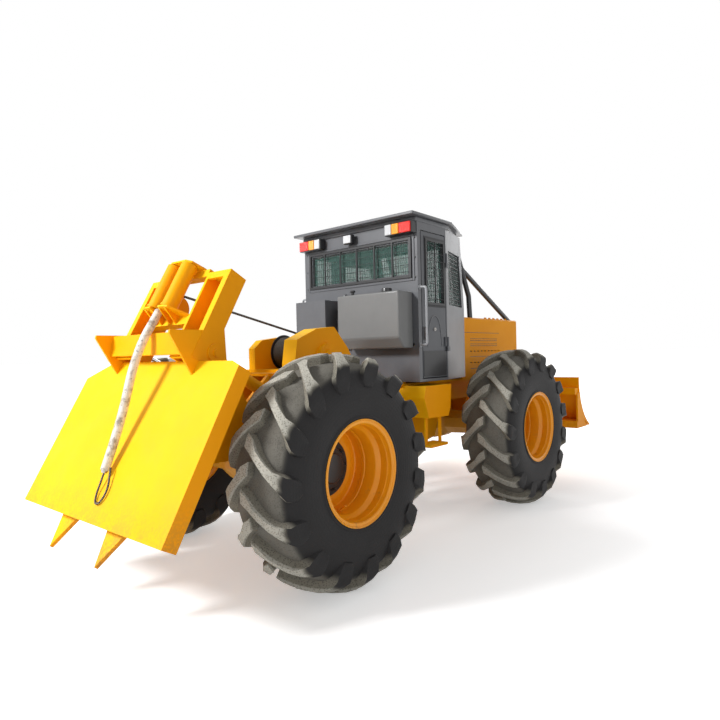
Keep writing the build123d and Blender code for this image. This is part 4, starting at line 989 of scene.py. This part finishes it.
# ---------------------------------------------------------------- hood trim
HOOD_SIDE, HOOD_TOP, HOOD_REAR = 0.500, 1.960, 2.524
MARK = 0.0012  # how far a seam or a hole's dark disc stands proud; each hole is a black disc of painted shade
SEAMS = (  # drop below the top, start and end
    (0.165, 0.0, 0.870), (0.430, 0.190, 0.820), (0.560, 0.190, 0.820),
)
HOLE_DROPS = (0.232, 0.252, 0.290, 0.310)
HOLES, HOLE_PITCH = 32, 0.0195
for hand, side in SIDES:
    marks = bmesh.new()
    for drop, start, end in SEAMS:
        heights = (HOOD_TOP - drop - 0.002, HOOD_TOP - drop + 0.002)
        slab(
            marks, (HOOD_REAR + start, HOOD_REAR + end), (hand * HOOD_SIDE, hand * (HOOD_SIDE + MARK)),
            heights,
        )
    # painted shade: the holes are black discs on the hood's side, not cut through
    for drop in HOLE_DROPS:
        for step in range(HOLES):
            place = at(HOOD_REAR + 0.200 + HOLE_PITCH * step, hand * HOOD_SIDE, HOOD_TOP - drop)
            disc(marks, place, (0, hand, 0), 0.0048, MARK, 8)
    piece("hood_seams_" + side, "front_frame", marks, "black_paint")
    screws = bmesh.new()
    places = [at(x, hand * 0.470, HOOD_TOP) for x in (3.12, 3.22, 3.32, 3.42, 3.52, 3.62)]
    hex_heads(screws, places, (0, 0, 1), 0.026, 0.014)
    piece("hood_screws_" + side, "front_frame", screws, "hood_paint", "yellow_paint")


# ---------------------------------------------------------------- handrails
RAIL_STATION, RAIL_TOP, RAIL_FOOT = 1.446, 2.178, 1.654
RAIL = (  # place across, height
    (0.722, RAIL_TOP), (0.750, RAIL_TOP), (0.780, 2.176), (0.789, 2.160), (0.789, 2.120), (0.789, 1.920),
    (0.789, 1.710), (0.789, 1.672), (0.780, 1.656), (0.750, RAIL_FOOT), (0.722, RAIL_FOOT),
)
for hand, side in SIDES:
    places = [at(RAIL_STATION, hand * y, z) for y, z in RAIL]
    rail = tube_piece("handrail_" + side, "front_frame", places, 0.0115, "grey_panel")
    if side == "left":
        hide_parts("grab_handles")
    feet = bmesh.new()
    for height in (RAIL_TOP, RAIL_FOOT):
        disc(feet, at(RAIL_STATION, hand * CAB_SIDE, height), (0, hand, 0), 0.022, 0.005, 24)
    piece("handrail_feet_" + side, "front_frame", feet, "grey_panel")


# ---------------------------------------------------------------- tanks
TANK_SIDE = (  # station, height
    (1.200, 1.722), (1.200, 2.140), (1.4185, 2.140), (1.4185, 1.630), (1.282, 1.630),
)
tank = bmesh.new()
prism(tank, [at(x, -0.660, z) for x, z in TANK_SIDE], (0, 0.730, 0))
fuel = piece(
    "fuel_tank_body", "front_frame", tank, "tank_paint", "dark_paint", bevel=0.016, segments=4, smooth=30,
)
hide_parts("fuel_tank")
cap = bmesh.new()
for place, radius, length, sides, tip in (  # the filler's collar and cap, and the breather's stem and head
    ((1.310, -0.450, 2.138), 0.062, 0.012, 32, None),
    ((1.310, -0.450, 2.150), 0.050, 0.030, 12, 0.046),
    ((1.235, -0.100, 2.138), 0.016, 0.030, 16, None),
    ((1.235, -0.100, 2.166), 0.026, 0.018, 20, None),
):
    disc(cap, at(*place), (0, 0, 1), radius, length, sides, tip)
piece("fuel_cap", "front_frame", cap, "black_paint", bevel=0.003)

SIGHT_TUBE = (  # station, height
    (1.419, 1.600), (1.385, 1.625), (1.380, 1.70), (1.372, 1.90), (1.372, 2.10), (1.385, 2.165),
    (1.419, 2.185),
)
HOSE = ((1.419, 1.640), (1.350, 1.650), (1.335, 1.76), (1.340, 1.92), (1.352, 2.02), (1.419, 2.045))
for name, route, across, radius, finish in (
    ("tank_sight_tube", SIGHT_TUBE, 0.150, 0.007, "chrome_rod"),
    ("tank_hose_upper", HOSE, 0.118, 0.014, "trim_plastic"),
    ("tank_hose_lower", HOSE, 0.186, 0.014, "trim_plastic"),
):
    tube_piece(name, "front_frame", [at(x, across, z) for x, z in route], radius, finish)


# ---------------------------------------------------------------- the hanging rope
SLEEVE_ROUTE = (
    (0.2395, 0.0, 0.210),
    (0.262, -0.040, 0.105),
    (0.288, -0.080, 0.0),
    (0.283, -0.084, -0.140),
    (0.256, -0.080, -0.290),
    (0.212, -0.078, -0.450),
    (0.176, -0.076, -0.610),
    (0.148, -0.072, -0.770),
    (0.126, -0.066, -0.905),
)
LOOP_ROUTE = (
    (0.126, -0.066, -0.905),
    (0.115, -0.063, -0.972),
    (0.101, -0.050, -1.050),
    (0.099, -0.076, -1.108),
    (0.099, -0.116, -1.112),
    (0.100, -0.150, -1.075),
    (0.102, -0.158, -1.010),
    (0.110, -0.134, -0.940),
    (0.122, -0.112, -0.880),
)


def hanging(name, route, radius, finish, node, length, far_end, **facts):
    """A free cord along a route on the rear lift."""
    cord = tube_piece(name, "rear_lift", [lift(*p) for p in route], radius, finish, rounds=5)
    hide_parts(node)
    tuple(lift(*route[0]))


hanging("choker_eye", LOOP_ROUTE, 0.0065, "wire_rope", "choker_loop", 0.497, "object")
ferrule = bmesh.new()
end, before = lift(*SLEEVE_ROUTE[-1]), lift(*SLEEVE_ROUTE[-2])
disc(ferrule, end - (end - before).normalized() * 0.012, end - before, 0.0275, 0.030, 24, 0.016)
ferrule = piece("rope_ferrule", "rear_lift", ferrule, "bare_steel", bevel=0.002)
hanging(
    "covered_rope", SLEEVE_ROUTE, 0.029, "rope_cover", "rope_sleeve", 1.150, "fitting",
    with_pieces=[ferrule],
)

# the rope over its sheave, from where the winch's rope meets it down to the cover's mouth
SHEAVE, WRAP = (0.135, 0.300), 0.1045  # out and up on the lift; radius of the rope's middle
MEET = math.atan2(0.401 - SHEAVE[1], 0.1613 - SHEAVE[0])
over = [
    (SHEAVE[0] + WRAP * math.cos(angle), 0.0, SHEAVE[1] + WRAP * math.sin(angle))
    for angle in (MEET * (1 - step / 10) for step in range(11))
]
over += [(SHEAVE[0] + WRAP, 0.0, 0.250), (SHEAVE[0] + WRAP, 0.0, 0.2115)]
rope = tube_piece("rope_over_sheave", "rear_lift", [lift(*p) for p in over], 0.0088, "wire_rope", rounds=4)
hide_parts("rope_drop")

size = {"cad": [list(corner) for corner in cad_box], "visual": [list(corner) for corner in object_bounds()]}
